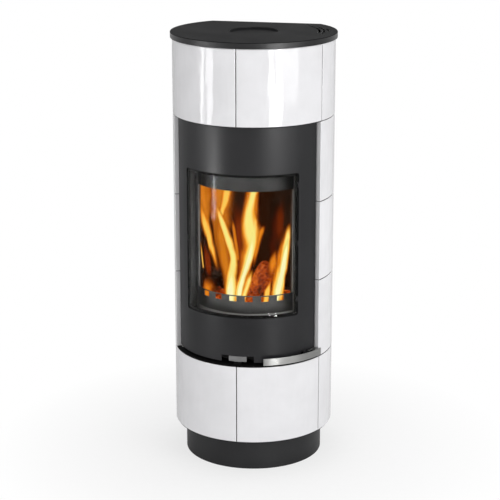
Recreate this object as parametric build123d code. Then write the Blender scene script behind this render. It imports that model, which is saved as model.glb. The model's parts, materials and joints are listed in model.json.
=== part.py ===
"""Round tiled wood stove with a curved glazed door, built in millimetres.

The origin is on the floor under the stove's axis, +Z is up and the door faces -Y.
Azimuths are in degrees from the front, positive to the right (+X).
Every piece is written to its own STEP file in parts/.
"""

from build123d import *
from dataclasses import dataclass
import os
from math import asin, cos, degrees, radians, sin, sqrt

# ---------------------------------------------------------------- body
BODY_RADIUS = 250.0          # glazed face of the tiles
BACK_PLANE = 187.0           # flat back edge of the top plate, behind the axis
BACK_INSET = 7.0             # tile ends, in front of that edge
SHEET = 2.0                  # casings and plinth
WELD_GAP = 0.2               # between pieces that are tacked together
SEAT_GAP = 0.3               # between loose pieces and their seats

# ---------------------------------------------------------------- plinth and decks
PLINTH_INSET = 33.0            # plinth wall inside the tile face
PLINTH_HEIGHT = 98.0
PLINTH_BACK_INSET = 9.0
BASE_THICKNESS = 5.0
LOWER_DECK_THICKNESS = 4.0
LOWER_DECK_INSET = 4.0       # deck edge inside the tile face
DECK_THICKNESS = 3.0
SHELF_INSET = 1.0            # front edge of the middle deck inside the tile face
DECK_SIDE_GAP = 3.0          # deck's front edge to the side tiles
DECK_HOLE_RADIUS = 150.0     # opening of the top deck
DECK_AIR_RADIUS = 50.0       # opening of the lower deck
COLUMN_LEG = 30.0
COLUMN_WALL = 3.0
COLUMN_SETBACK = 12.0        # column inside the casing or plinth
COLUMN_AZIMUTHS = (-135.0, -45.0, 45.0, 135.0)
LEVELLING_RADIUS = 5.0
LEVELLING_LENGTH = 40.0
LEVELLING_HEAD = 9.0
LEVELLING_CIRCLE = 150.0

# ---------------------------------------------------------------- tiles
TILE_THICKNESS = 22.0
TILE_JOINT = 2.0
TILE_CHAMFER = 2.0
TILE_RIM = 26.0              # solid border round the hollow back
TILE_POCKET = 8.0
LOWER_TILE_HEIGHT = 246.5
SIDE_TILE_HEIGHT = 247.2
UPPER_TILE_HEIGHT = 232.0
SIDE_ROWS = 3
RING_SEAM = 67.3             # seam between the front and side tiles of a ring
DOORWAY = 66.3               # half angle of the doorway between the side tiles
BRACKET_DEPTH = 8.0
BRACKET_WIDTH = 20.0
BRACKET_HEIGHT = 12.0
SPACER_SIZE = 12.0

# ---------------------------------------------------------------- top plate
PLATE_OVERHANG = 6.0
PLATE_HEIGHT = 18.0
PLATE_SHEET = 4.0
PLATE_GAP = 0.9              # upper tiles to the plate's skirt
PLATE_CHAMFER = 1.2
OUTLET_RADIUS = 75.0         # takes the 150 mm flue
COVER_RECESS = 6.0
COVER_THICKNESS = 6.0
COVER_CLEARANCE = 0.4
COLLAR_WALL = 7.0
COLLAR_LIP = 7.0
COLLAR_FLOOR = 4.0
SLOT_WIDTH = 7.0
VENT_SLOTS = ((200.0, 90.0, 134.0), (214.0, 85.0, 124.0), (227.5, 98.0, 113.0))

# ---------------------------------------------------------------- stove body
CONVECTION_GAP = 28.0
BODY_WALL = 4.0
BODY_BACK_GAP = 28.0         # stove body to the back panel
BODY_TOP_GAP = 20.0          # stove body to the top deck
TOP_THICKNESS = 5.0
OPENING_HALF_ANGLE = 51.5
OPENING_HEIGHT = 387.0       # sill to head
SILL_HEIGHT = 18.0
SILL_THICKNESS = 5.0
SILL_SEAM = 31.0
SILL_JOINT = 1.0
GUARD_HEIGHT = 58.0
GUARD_THICKNESS = 2.4
GUARD_HOLES = 6
GUARD_PITCH = 15.25
GUARD_HOLE_WIDTH = 24.0
GUARD_HOLE_HEIGHT = 16.5
GUARD_HOLE_DROP = 3.0        # below the guard's top edge
BRICK_THICKNESS = 26.0
FLOOR_BRICK = 24.0
BRICK_JOINT = 1.0
BRICK_FRONT = 57.0           # azimuth of the side bricks' front ends
FLOOR_THICKNESS = 5.0
GRATE_RADIUS = 90.0
GRATE_THICKNESS = 18.0
GRATE_SLOT = 8.0
GRATE_BAR = 10.0
GRATE_RIM = 12.0
GRATE_LEDGE = 10.0
BAFFLE_THICKNESS = 20.0
BAFFLE_RISE = 16.0           # baffle above the opening's head
BAFFLE_FRONT_GAP = 75.0
DEFLECTOR_RISE = 60.0
DEFLECTOR_BACK_GAP = 80.0
DEFLECTOR_INSET = 8.0
DEFLECTOR_LEG_SPREAD = 110.0
DEFLECTOR_LEG_DEPTH = 100.0

# ---------------------------------------------------------------- ash space and air valve
ASH_SHELF_RISE = 12.0        # plenum under the ash shelf
ASH_SHELF_THICKNESS = 3.0
ASH_OPENING_HALF_ANGLE = 38.0
ASH_OPENING_MARGIN = 10.0
ASH_PAN_WIDTH = 208.0
ASH_PAN_DEPTH = 215.0
ASH_PAN_HEIGHT = 62.0
ASH_PAN_WALL = 2.0
ASH_PAN_FRONT = 145.0        # front face ahead of the axis
VALVE_SLOTS = 8
VALVE_SLOT_ANGLE = 9.0
VALVE_TRAVEL = 5.0           # degrees each way
VALVE_HUB = 14.0
VALVE_MOUTH = 44.0
VALVE_RADIUS = 48.0
VALVE_SHEET = 3.0
VALVE_LIFT = 0.3
LEVER_WIDTH = 20.0
TAB_HALF_ANGLE = 6.9
TAB_SETBACK = 3.4            # tab face behind the door's face
NECK_WIDTH = 24.0
PIVOT_RADIUS = 4.0
PIVOT_CLEARANCE = 0.1
PIVOT_HEAD = 9.0
DUCT_RADIUS = 51.0
DUCT_SPIGOT_RADIUS = 49.5    # swaged end, takes a 100 mm duct
DUCT_WALL = 2.0
DUCT_RISE = 124.0            # duct axis above the lower deck
DUCT_PROJECTION = 40.0
DUCT_CLEARANCE = 1.5

# ---------------------------------------------------------------- flue
FLUE_RADIUS = 76.0
FLUE_SPIGOT_RADIUS = 74.5    # swaged end, takes a 150 mm flue
FLUE_WALL = 2.0
FLUE_AXIS_RISE = 133.0       # rear outlet above the stove body's top
FLUE_PROJECTION = 45.0
FLUE_CLEARANCE = 2.0
FLANGE_WIDTH = 14.0
FLANGE_THICKNESS = 3.0

# ---------------------------------------------------------------- back panel
BACK_VENT_COUNT = 9
BACK_VENT_PITCH = 18.0
BACK_VENT_WIDTH = 6.0
BACK_VENT_HEIGHT = 60.0
BACK_VENT_INSET = 24.0
BACK_FLANGE = 20.0
SCREW_RADIUS = 2.5
SCREW_HEAD_RADIUS = 4.5
SCREW_HEAD_HEIGHT = 2.5
SCREW_LENGTH = 8.0
SCREW_CLEARANCE = 0.3
SCREW_LEVELS = 2

# ---------------------------------------------------------------- door
DOOR_RECESS = 13.0           # door face behind the tile face
DOOR_SHEET = 3.0
DOOR_SIDE_GAP = 5.2
DOOR_FOOT_GAP = 8.0
DOOR_HEAD_GAP = 2.2
WINDOW_MARGIN = 142.0        # door's bottom edge to the window
WINDOW_HEIGHT = 448.0
WINDOW_HALF_ANGLE = 47.3
WINDOW_CORNER = 9.0
GLASS_THICKNESS = 4.0
GLASS_INSET = 0.5
GLASS_GAP = 4.0              # dark joint between pane and panel
GLASS_BEARING = 5.0
SEAL_THICKNESS = 3.0
SEAL_LAP = 3.0               # seal beyond the window's edge
CLIP_HEIGHT = 14.0
CLIP_LEVELS = (51.0, 228.0, 409.0)   # above the window's bottom edge
CLIP_CLEARANCE = 0.2
PAN_HALF_ANGLE = 62.0
PAN_FOOT = 24.0              # pan above the door's bottom edge
PAN_HEAD = 25.0
PAN_SHEET = 2.0
PAN_GAP = 5.0                # between panel and pan
ROPE_GROOVE = 8.0
ROPE_SHELL = 2.0
ROPE_BEAD = 5.0              # rope squeezed between pan and stove body
ROPE_CHANNEL = 10.0
LINER_THICKNESS = 14.0
LINER_MARGIN = 8.0
AIR_NOTCH_HALF_ANGLE = 12.4
NOTCH_HEIGHT = 20.0
LATCH_NOTCH_START = 50.5

# ---------------------------------------------------------------- hinges
HINGE_INSET = 8.0            # pin inside the door's left edge
HINGE_SETBACK = 7.5          # pin behind the door's face
HINGE_PIN_RADIUS = 3.5
HINGE_CLEARANCE = 0.08
BUSH_RADIUS = 6.0
BUSH_RISE = 2.0
STRAP_THICKNESS = 5.0
STRAP_LENGTH = 60.0
STRAP_DEPTH = 11.0
STRAP_EDGE = 2.5             # strap inside the door's left edge
STRAP_FOOT = 4.0
STRAP_HEAD = 8.0

# ---------------------------------------------------------------- handle and latch
HANDLE_STANDOFF = 15.5       # strip in front of the door's face
HANDLE_SHEET = 3.5
HANDLE_HEIGHT = 22.5
HANDLE_RISE = 4.0            # strip above the middle deck
HANDLE_START = 19.0
HANDLE_END = 67.4
HANDLE_PIVOT_AZIMUTH = 64.2
HANDLE_PIVOT_GAP = 6.0       # pivot behind the strip
KNUCKLE_RADIUS = 5.5
KNUCKLE_HEIGHT = 6.0
KNUCKLE_PLAY = 0.5
KNUCKLE_DROP = 1.0           # lower knuckle above the strip's bottom edge
KNUCKLE_WEB = 8.0
HANDLE_PIN_RADIUS = 3.0
HANDLE_PIN_CLEARANCE = 0.08
LUG_THICKNESS = 5.0
LUG_NECK = 9.0
LUG_PLATE_WIDTH = 44.0
LUG_PLATE_HEIGHT = 36.0
LUG_PLATE_THICKNESS = 2.5
HANDLE_TRAVEL = 8.0
HANDLE_PLAY = 0.8            # lever to the bracket over the handle's travel
LATCH_THICKNESS = 4.0
LATCH_REACH = 33.0           # tip behind the pivot
LATCH_TIP_WIDTH = 9.0
LATCH_TIP_OFFSET = 1.0       # tip's right edge beside the pivot
LATCH_HEEL_LENGTH = 30.0
LATCH_HEEL_WIDTH = 6.0
CATCH_DEPTH = 16.0
CATCH_HEIGHT = 14.0
CATCH_PLAY = 1.0

# ---------------------------------------------------------------- derived radii
tile_back = BODY_RADIUS - TILE_THICKNESS
casing_radius = tile_back - BRACKET_DEPTH
casing_inner = casing_radius - SHEET
body_radius = casing_inner - CONVECTION_GAP
body_inner = body_radius - BODY_WALL
plinth_radius = BODY_RADIUS - PLINTH_INSET
tile_end = BACK_PLANE - BACK_INSET
panel_back = tile_end - SHEET
body_back = panel_back - BODY_BACK_GAP
plate_radius = BODY_RADIUS + PLATE_OVERHANG
door_radius = BODY_RADIUS - DOOR_RECESS
door_inner = door_radius - DOOR_SHEET
pan_radius = door_inner - PAN_GAP
rope_radius = body_radius + ROPE_BEAD
hinge_radius = door_radius - HINGE_SETBACK
handle_inner = door_radius + HANDLE_STANDOFF
handle_outer = handle_inner + HANDLE_SHEET
handle_pivot_radius = handle_inner - HANDLE_PIVOT_GAP

# ---------------------------------------------------------------- derived levels
lower_deck_top = PLINTH_HEIGHT + LOWER_DECK_THICKNESS
lower_ring_top = lower_deck_top + LOWER_TILE_HEIGHT
mid_deck_bottom = lower_ring_top + WELD_GAP
mid_deck_top = mid_deck_bottom + DECK_THICKNESS
side_bottom = lower_ring_top + TILE_JOINT
side_pitch = SIDE_TILE_HEIGHT + TILE_JOINT
upper_ring_bottom = side_bottom + SIDE_ROWS * side_pitch
top_deck_top = upper_ring_bottom - WELD_GAP
top_deck_bottom = top_deck_top - DECK_THICKNESS
skirt_bottom = upper_ring_bottom + UPPER_TILE_HEIGHT + PLATE_GAP
plate_top = skirt_bottom + PLATE_HEIGHT
plate_bottom = plate_top - PLATE_SHEET
door_bottom = mid_deck_top + DOOR_FOOT_GAP
door_top = top_deck_bottom - DOOR_HEAD_GAP
window_bottom = door_bottom + WINDOW_MARGIN
window_top = window_bottom + WINDOW_HEIGHT
sill_top = window_bottom
opening_bottom = sill_top - SILL_HEIGHT
opening_top = sill_top + OPENING_HEIGHT
floor_top = sill_top - FLOOR_BRICK
floor_bottom = floor_top - FLOOR_THICKNESS
body_top = top_deck_bottom - BODY_TOP_GAP
baffle_bottom = opening_top + BAFFLE_RISE
baffle_top = baffle_bottom + BAFFLE_THICKNESS
deflector_bottom = baffle_top + DEFLECTOR_RISE
valve_bottom = mid_deck_top + VALVE_LIFT
valve_top = valve_bottom + VALVE_SHEET
ash_shelf_bottom = mid_deck_top + ASH_SHELF_RISE
ash_shelf_top = ash_shelf_bottom + ASH_SHELF_THICKNESS
cover_top = plate_top - COVER_RECESS
cover_bottom = cover_top - COVER_THICKNESS
collar_floor_top = cover_bottom - SEAT_GAP
collar_bottom = collar_floor_top - COLLAR_FLOOR
flue_axis = body_top + TOP_THICKNESS + FLUE_AXIS_RISE
duct_axis = lower_deck_top + DUCT_RISE
pan_bottom = door_bottom + PAN_FOOT
pan_top = door_top - PAN_HEAD
handle_bottom = mid_deck_top + HANDLE_RISE
handle_top = handle_bottom + HANDLE_HEIGHT
lug_bottom = handle_bottom + KNUCKLE_DROP + KNUCKLE_HEIGHT + KNUCKLE_PLAY
lug_top = lug_bottom + LUG_THICKNESS
latch_bottom = lug_top + KNUCKLE_PLAY + KNUCKLE_HEIGHT


def arc(length, radius):
    """Angle in degrees that a length along a circle spans."""
    return degrees(length / radius)


door_half_angle = DOORWAY - arc(DOOR_SIDE_GAP, door_radius)
hinge_azimuth = -door_half_angle + arc(HINGE_INSET, door_radius)
glass_half_angle = WINDOW_HALF_ANGLE - arc(GLASS_GAP, door_radius)
bearing_half_angle = glass_half_angle - arc(GLASS_BEARING, pan_radius)


# ================================================================ helpers
def polar(radius, azimuth):
    """Point at a radius and an azimuth from the front."""
    return radius * sin(radians(azimuth)), -radius * cos(radians(azimuth))


def sector(inner, outer, bottom, top, start, end):
    """Curved slab between two radii, two levels and two azimuths."""
    centre = Pos((inner + outer) / 2, (bottom + top) / 2)
    profile = Plane.XZ * centre * Rectangle(outer - inner, top - bottom)
    return Rot(0, 0, start - 90) * revolve(profile, Axis.Z, end - start)


def disc(radius, bottom, top):
    """Flat disc on the stove's axis."""
    return Pos(0, 0, (bottom + top) / 2) * Cylinder(radius, top - bottom)


def block(x_range, y_range, z_range):
    """Box between two limits on each axis."""
    size = [high - low for low, high in (x_range, y_range, z_range)]
    centre = [(high + low) / 2 for low, high in (x_range, y_range, z_range)]
    return Pos(*centre) * Box(*size)


def ahead_of(plane_y, bottom, top):
    """Space in front of a plane square to Y, wide enough for any piece."""
    reach = 2 * plate_radius
    return block((-reach, reach), (-reach, plane_y), (bottom, top))


def behind(plane_y, bottom, top):
    """Space behind a plane square to Y."""
    reach = 2 * plate_radius
    return block((-reach, reach), (plane_y, reach), (bottom, top))


def flat_backed(radius, back, bottom, top):
    """Round plate cut off flat at the back."""
    return disc(radius, bottom, top) & ahead_of(back, bottom - 1, top + 1)


def upright(radius, azimuth, pin_radius, bottom, top):
    """Vertical pin at a radius and azimuth."""
    x, y = polar(radius, azimuth)
    return Pos(x, y, (bottom + top) / 2) * Cylinder(pin_radius, top - bottom)


def radial_corners(shape):
    """Edges that run along a radius, where an opening's corners are rounded."""
    return [
        edge
        for edge in shape.edges().filter_by(GeomType.LINE)
        if abs(edge.position_at(0).Z - edge.position_at(1).Z) < 1e-3
    ]


def window(inner, outer, bottom, top, half_angle, corner):
    """Curved slab centred on the front, with rounded corners."""
    slab = sector(inner, outer, bottom, top, -half_angle, half_angle)
    return fillet(radial_corners(slab), corner)


def mirrored(shape):
    """The same piece on the other side of the stove."""
    return mirror(shape, about=Plane.YZ)


def group(shapes):
    """Separate solids of one kind that are kept together."""
    return Compound([solid for shape in shapes for solid in shape.solids()])


def face_edges(shape, radius):
    """Edges that lie on the round outer face."""
    found = []
    for edge in shape.edges():
        points = [edge.position_at(share) for share in (0, 0.5, 1)]
        if all(sqrt(point.X**2 + point.Y**2) > radius - 0.05 for point in points):
            found.append(edge)
    return found


# ================================================================ plinth and frame
def make_base_plate():
    """Floor plate inside the plinth, drilled for the levelling screws."""
    radius = plinth_radius - SHEET - SEAT_GAP
    back = tile_end - PLINTH_BACK_INSET - SHEET - SEAT_GAP
    plate = flat_backed(radius, back, 0, BASE_THICKNESS)
    for azimuth in COLUMN_AZIMUTHS:
        hole = LEVELLING_RADIUS + WELD_GAP
        plate -= upright(LEVELLING_CIRCLE, azimuth, hole, -1, BASE_THICKNESS + 1)
    return plate


def make_levelling_screws():
    """Four screws that level the stove from inside the plinth."""
    screws = []
    for azimuth in COLUMN_AZIMUTHS:
        shank = upright(LEVELLING_CIRCLE, azimuth, LEVELLING_RADIUS, 1, LEVELLING_LENGTH)
        x, y = polar(LEVELLING_CIRCLE, azimuth)
        nut_bottom = BASE_THICKNESS + WELD_GAP
        nut = extrude(Pos(x, y, nut_bottom) * RegularPolygon(LEVELLING_HEAD, 6), LEVELLING_HEAD)
        screws.append(shank + nut)
    return group(screws)


def make_plinth_shell():
    """Round plinth wall with a flat back."""
    back = tile_end - PLINTH_BACK_INSET
    outside = flat_backed(plinth_radius, back, 0, PLINTH_HEIGHT)
    inside = flat_backed(plinth_radius - SHEET, back - SHEET, -1, PLINTH_HEIGHT + 1)
    return outside - inside


def make_lower_deck():
    """Deck that carries the lower ring of tiles, open in the middle for convection air."""
    plate = flat_backed(BODY_RADIUS - LOWER_DECK_INSET, panel_back, PLINTH_HEIGHT, lower_deck_top)
    return plate - disc(DECK_AIR_RADIUS, PLINTH_HEIGHT - 1, lower_deck_top + 1)


def column(azimuth, radius, bottom, top):
    """One angle-section post with its corner pointing outwards."""
    outside = Box(COLUMN_LEG, COLUMN_LEG, top - bottom)
    shift = COLUMN_WALL / 2
    inside = Pos(-shift, shift, 0) * Box(
        COLUMN_LEG - COLUMN_WALL, COLUMN_LEG - COLUMN_WALL, top - bottom + 2
    )
    x, y = polar(radius, azimuth)
    return Pos(x, y, (bottom + top) / 2) * Rot(0, 0, azimuth - 45) * (outside - inside)


def make_columns():
    """Posts from the base plate to the lower deck and from there to the middle deck."""
    posts = []
    reach = COLUMN_SETBACK + COLUMN_LEG * sqrt(0.5)
    for azimuth in COLUMN_AZIMUTHS:
        posts.append(column(azimuth, plinth_radius - reach, BASE_THICKNESS, PLINTH_HEIGHT))
        posts.append(column(azimuth, casing_inner - reach, lower_deck_top, mid_deck_bottom))
    return group(posts)


def front_shelf(inset, bottom, top):
    """Part of a deck that reaches out between the side tiles."""
    half_angle = DOORWAY - arc(DECK_SIDE_GAP, BODY_RADIUS)
    return sector(casing_inner, BODY_RADIUS - inset, bottom, top, -half_angle, half_angle)


def hinge_bore(bottom, top):
    """Hole in a deck for a hinge bush."""
    return upright(hinge_radius, hinge_azimuth, BUSH_RADIUS, bottom - 1, top + 1)


def make_mid_deck():
    """Deck under the stove body, with the air valve's slots and the dark shelf below the door."""
    plate = flat_backed(casing_radius, panel_back, mid_deck_bottom, mid_deck_top)
    plate += front_shelf(SHELF_INSET, mid_deck_bottom, mid_deck_top)
    plate -= hinge_bore(mid_deck_bottom, mid_deck_top)
    low = mid_deck_bottom - 1
    high = mid_deck_top + 1
    for index in range(VALVE_SLOTS):
        middle = index * 360 / VALVE_SLOTS
        half = VALVE_SLOT_ANGLE / 2
        plate -= sector(VALVE_HUB, VALVE_MOUTH, low, high, middle - half, middle + half)
    vent_inner = body_radius + CONVECTION_GAP / 4
    vent_outer = casing_inner - CONVECTION_GAP / 4
    for side in (-1, 1):
        start, end = sorted((side * 80, side * 128))
        plate -= sector(vent_inner, vent_outer, low, high, start, end)
    return plate


def make_top_deck():
    """Deck that carries the front tiles of the upper ring above the door."""
    plate = flat_backed(casing_radius, panel_back, top_deck_bottom, top_deck_top)
    plate += front_shelf(LOWER_DECK_INSET, top_deck_bottom, top_deck_top)
    plate -= disc(DECK_HOLE_RADIUS, top_deck_bottom - 1, top_deck_top + 1)
    return plate - hinge_bore(top_deck_bottom, top_deck_top)


def casing(bottom, top, start, end):
    """Curved casing sheet behind the tiles, cut off at the back panel."""
    sheet = sector(casing_inner, casing_radius, bottom, top, start, end)
    return sheet & ahead_of(panel_back, bottom - 1, top + 1)


def screw_places():
    """Screw positions (x, z) in the back panel."""
    x = sqrt(casing_inner**2 - panel_back**2) + SHEET / 2 - BACK_FLANGE / 2
    low = mid_deck_top + BACK_FLANGE
    high = top_deck_bottom - BACK_FLANGE
    levels = [low + step * (high - low) / (SCREW_LEVELS - 1) for step in range(SCREW_LEVELS)]
    levels += [lower_deck_top + BACK_FLANGE, plate_bottom - BACK_FLANGE]
    return [(side * x, level) for level in levels for side in (-1, 1)]


def screw_holes(radius):
    """Holes for the back panel's screws."""
    middle = (panel_back + tile_end) / 2
    return [
        Pos(x, middle, level) * Rot(90, 0, 0) * Cylinder(radius, 4 * SHEET)
        for x, level in screw_places()
    ]


def back_flange(bottom, top):
    """Folded edge of a casing on the right, which the back panel is screwed to."""
    outer = sqrt(casing_inner**2 - panel_back**2) + SHEET / 2
    return block((outer - BACK_FLANGE, outer), (panel_back - SHEET, panel_back), (bottom, top))


def make_ring_casing(bottom, top):
    """Casing behind a full ring of tiles."""
    sheet = casing(bottom, top, -179, 179)
    flange = back_flange(bottom, top)
    return sheet + flange + mirrored(flange) - screw_holes(SCREW_RADIUS + WELD_GAP)


def make_side_casings():
    """Left and right side casings, folded inwards at the doorway."""
    sheet = casing(mid_deck_top, top_deck_bottom, DOORWAY, 179)
    fold = arc(SHEET, casing_radius)
    jamb_inner = body_radius + SHEET
    jamb = sector(
        jamb_inner, casing_radius, mid_deck_top, top_deck_bottom, DOORWAY - fold, DOORWAY
    )
    right = sheet + jamb + back_flange(mid_deck_top, top_deck_bottom)
    right -= screw_holes(SCREW_RADIUS + WELD_GAP)
    return group([right, mirrored(right)])


# ================================================================ tiles
@dataclass(frozen=True)
class TilePlace:
    """Where one tile on the right side or front sits."""

    name: str
    start: float
    end: float
    bottom: float
    height: float


def tile_end_azimuth(radius):
    """Azimuth at which the side tiles are cut off by the flat back."""
    return 90 + degrees(asin(tile_end / radius))


def make_tile(place):
    """Curved tile with eased edges and a hollow back."""
    top = place.bottom + place.height
    ends_at_back = place.end > 90
    end = 179 if ends_at_back else place.end
    body = sector(tile_back, BODY_RADIUS, place.bottom, top, place.start, end)
    if ends_at_back:
        body &= ahead_of(tile_end, place.bottom - 1, top + 1)
    body = chamfer(face_edges(body, BODY_RADIUS), TILE_CHAMFER)
    rim = arc(TILE_RIM, tile_back)
    pocket_end = tile_end_azimuth(BODY_RADIUS) - rim if ends_at_back else place.end - rim
    pocket = sector(
        tile_back - 1,
        tile_back + TILE_POCKET,
        place.bottom + TILE_RIM,
        top - TILE_RIM,
        place.start + rim,
        pocket_end,
    )
    return body - pocket


def right_side_places():
    """The seven tiles to the right of the front seam."""
    joint = arc(TILE_JOINT / 2, BODY_RADIUS)
    front = (joint, RING_SEAM - joint)
    side = (RING_SEAM + joint, 180)
    rings = (
        ("lower", lower_deck_top, LOWER_TILE_HEIGHT),
        ("upper", upper_ring_bottom, UPPER_TILE_HEIGHT),
    )
    places = []
    for ring, bottom, height in rings:
        places.append(TilePlace(f"tile_{ring}_front_right", *front, bottom, height))
        places.append(TilePlace(f"tile_{ring}_side_right", *side, bottom, height))
    for row in range(SIDE_ROWS):
        bottom = side_bottom + row * side_pitch
        name = f"tile_side_right_{row + 1}"
        places.append(TilePlace(name, DOORWAY, 180, bottom, SIDE_TILE_HEIGHT))
    return places


def make_tile_brackets():
    """Brackets on the casings that hold each tile near its corners."""
    brackets = []
    inset = TILE_RIM / 2
    depth = BRACKET_DEPTH - SEAT_GAP
    for place in right_side_places():
        last = tile_end_azimuth(BODY_RADIUS) if place.end > 90 else place.end
        for azimuth in (place.start + arc(inset, tile_back), last - arc(inset, tile_back)):
            for level in (place.bottom + inset, place.bottom + place.height - inset):
                x, y = polar(casing_radius + depth / 2, azimuth)
                shape = Rot(0, 0, azimuth) * Box(BRACKET_WIDTH, depth, BRACKET_HEIGHT)
                bracket = Pos(x, y, level) * shape
                brackets += [bracket, mirrored(bracket)]
    return group(brackets)


def make_tile_spacers():
    """Pads in the level joints between the courses at the sides."""
    pads = []
    first = DOORWAY + arc(TILE_RIM, BODY_RADIUS)
    last = tile_end_azimuth(BODY_RADIUS) - arc(TILE_RIM, BODY_RADIUS)
    for row in range(SIDE_ROWS + 1):
        level = lower_ring_top + row * side_pitch + TILE_JOINT / 2
        for azimuth in (first, last):
            x, y = polar(BODY_RADIUS - TILE_THICKNESS / 2, azimuth)
            pad = Pos(x, y, level) * Rot(0, 0, azimuth) * Box(SPACER_SIZE, SPACER_SIZE, TILE_JOINT)
            pads += [pad, mirrored(pad)]
    return group(pads)


# ================================================================ back and top
def back_panel_half_width():
    """Half width of the back panel between the ends of the side tiles."""
    return sqrt(tile_back**2 - tile_end**2) - TILE_JOINT


def make_back_panel():
    """Flat back with vents at the top and bottom and holes for the flue and the air duct."""
    half = back_panel_half_width()
    panel = block((-half, half), (panel_back, tile_end), (lower_deck_top, plate_bottom))
    through = (panel_back - 1, tile_end + 1)
    mid_panel = (panel_back + tile_end) / 2
    for level, radius in (
        (flue_axis, FLUE_RADIUS + FLUE_CLEARANCE),
        (duct_axis, DUCT_RADIUS + DUCT_CLEARANCE),
    ):
        panel -= Pos(0, mid_panel, level) * Rot(90, 0, 0) * Cylinder(radius, 4 * SHEET)
    vents = []
    half_vent = BACK_VENT_WIDTH / 2
    low = mid_deck_top + BACK_VENT_INSET
    high = top_deck_bottom - BACK_VENT_INSET - BACK_VENT_HEIGHT
    for base in (low, high):
        levels = (base, base + BACK_VENT_HEIGHT)
        for index in range(BACK_VENT_COUNT):
            x = (index - (BACK_VENT_COUNT - 1) / 2) * BACK_VENT_PITCH
            vents.append(block((x - half_vent, x + half_vent), through, levels))
    return panel - vents - screw_holes(SCREW_RADIUS + SCREW_CLEARANCE)


def make_back_screws():
    """Screws that hold the back panel to the folded edges of the casings."""
    screws = []
    for x, level in screw_places():
        face = Pos(x, tile_end, level) * Rot(90, 0, 0)
        head = extrude(face * RegularPolygon(SCREW_HEAD_RADIUS, 6), -SCREW_HEAD_HEIGHT)
        shank = Pos(x, tile_end - SCREW_LENGTH / 2, level) * Rot(90, 0, 0)
        screws.append(head + shank * Cylinder(SCREW_RADIUS, SCREW_LENGTH))
    return group(screws)


def make_top_plate():
    """Flat-backed top with a turned-down skirt, the flue outlet and the curved vent slots."""
    plate = flat_backed(plate_radius, BACK_PLANE, skirt_bottom, plate_top)
    rim = [edge for edge in plate.edges() if edge.bounding_box().min.Z > plate_top - 0.01]
    plate = chamfer(rim, PLATE_CHAMFER)
    plate -= flat_backed(
        plate_radius - PLATE_SHEET, BACK_PLANE - PLATE_SHEET, skirt_bottom - 1, plate_bottom
    )
    plate -= disc(OUTLET_RADIUS, plate_bottom - 1, plate_top + 1)
    for radius, start, end in VENT_SLOTS:
        half = SLOT_WIDTH / 2
        plate -= sector(radius - half, radius + half, plate_bottom - 1, plate_top + 1, start, end)
    return plate


def make_flue_collar():
    """Stepped ring under the outlet, which carries the cover and closes on the smoke tee."""
    ring = disc(OUTLET_RADIUS + COLLAR_WALL, collar_bottom, plate_bottom)
    ring -= disc(OUTLET_RADIUS, collar_floor_top, plate_bottom + 1)
    return ring - disc(OUTLET_RADIUS - COLLAR_LIP, collar_bottom - 1, collar_floor_top + 1)


def make_top_cover():
    """Loose disc that closes the top outlet."""
    return disc(OUTLET_RADIUS - COVER_CLEARANCE, cover_bottom, cover_top)


# ================================================================ stove body
def make_stove_shell():
    """Welded steel shell with the fire opening, the ash opening and the lever's slot."""
    shell = flat_backed(body_radius, body_back, mid_deck_top, body_top)
    shell -= flat_backed(body_inner, body_back - BODY_WALL, mid_deck_top - 1, body_top + 1)
    inner = body_inner - SILL_THICKNESS
    outer = body_radius + 1
    half = OPENING_HALF_ANGLE
    shell -= sector(inner, outer, opening_bottom, opening_top, -half, half)
    half = ASH_OPENING_HALF_ANGLE
    ash_top = floor_bottom - ASH_OPENING_MARGIN
    shell -= sector(inner, outer, ash_shelf_top, ash_top, -half, half)
    swing = degrees(asin(LEVER_WIDTH / 2 / body_inner)) + VALVE_TRAVEL + 1
    slot_top = valve_top + VALVE_LIFT
    return shell - sector(inner, outer, mid_deck_top - 1, slot_top, -swing, swing)


def make_ash_shelf():
    """Plate above the air valve that the ash pan stands on, open in the middle."""
    radius = body_inner - WELD_GAP
    back = body_back - BODY_WALL - WELD_GAP
    shelf = flat_backed(radius, back, ash_shelf_bottom, ash_shelf_top)
    return shelf - disc(VALVE_MOUTH, ash_shelf_bottom - 1, ash_shelf_top + 1)


def make_ash_pan():
    """Open tray with a turned-out front lip."""
    half = ASH_PAN_WIDTH / 2
    bottom = ash_shelf_top + SEAT_GAP
    top = bottom + ASH_PAN_HEIGHT
    back = ASH_PAN_DEPTH - ASH_PAN_FRONT
    wall = ASH_PAN_WALL
    tray = block((-half, half), (-ASH_PAN_FRONT, back), (bottom, top))
    tray = fillet(tray.edges().filter_by(Axis.Z), 4 * wall)
    hollow = block(
        (wall - half, half - wall), (wall - ASH_PAN_FRONT, back - wall), (bottom + wall, top + 1)
    )
    hollow = fillet(hollow.edges().filter_by(Axis.Z), 3 * wall)
    grip = block(
        (-half / 2, half / 2), (-ASH_PAN_FRONT - 5 * wall, wall - ASH_PAN_FRONT), (top - wall, top)
    )
    return tray - hollow + grip


def make_stove_floor():
    """Plate under the floor bricks, bored under the grate."""
    radius = body_inner - WELD_GAP
    back = body_back - BODY_WALL - WELD_GAP
    floor = flat_backed(radius, back, floor_bottom, floor_top)
    return floor - disc(GRATE_RADIUS - GRATE_LEDGE, floor_bottom - 1, floor_top + 1)


def make_grate():
    """Round cast grate with parallel slots."""
    top = floor_top + GRATE_THICKNESS
    grate = disc(GRATE_RADIUS, floor_top, top)
    pitch = GRATE_SLOT + GRATE_BAR
    slot_zone = GRATE_RADIUS - GRATE_RIM
    count = int(slot_zone // pitch)
    slots = []
    for index in range(-count, count + 1):
        x = index * pitch
        reach = sqrt(slot_zone**2 - (abs(x) + GRATE_SLOT / 2) ** 2) if abs(x) < slot_zone else 0
        half = GRATE_SLOT / 2
        if reach > GRATE_SLOT:
            slots.append(block((x - half, x + half), (-reach, reach), (floor_top - 1, top + 1)))
    return grate - slots


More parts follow.
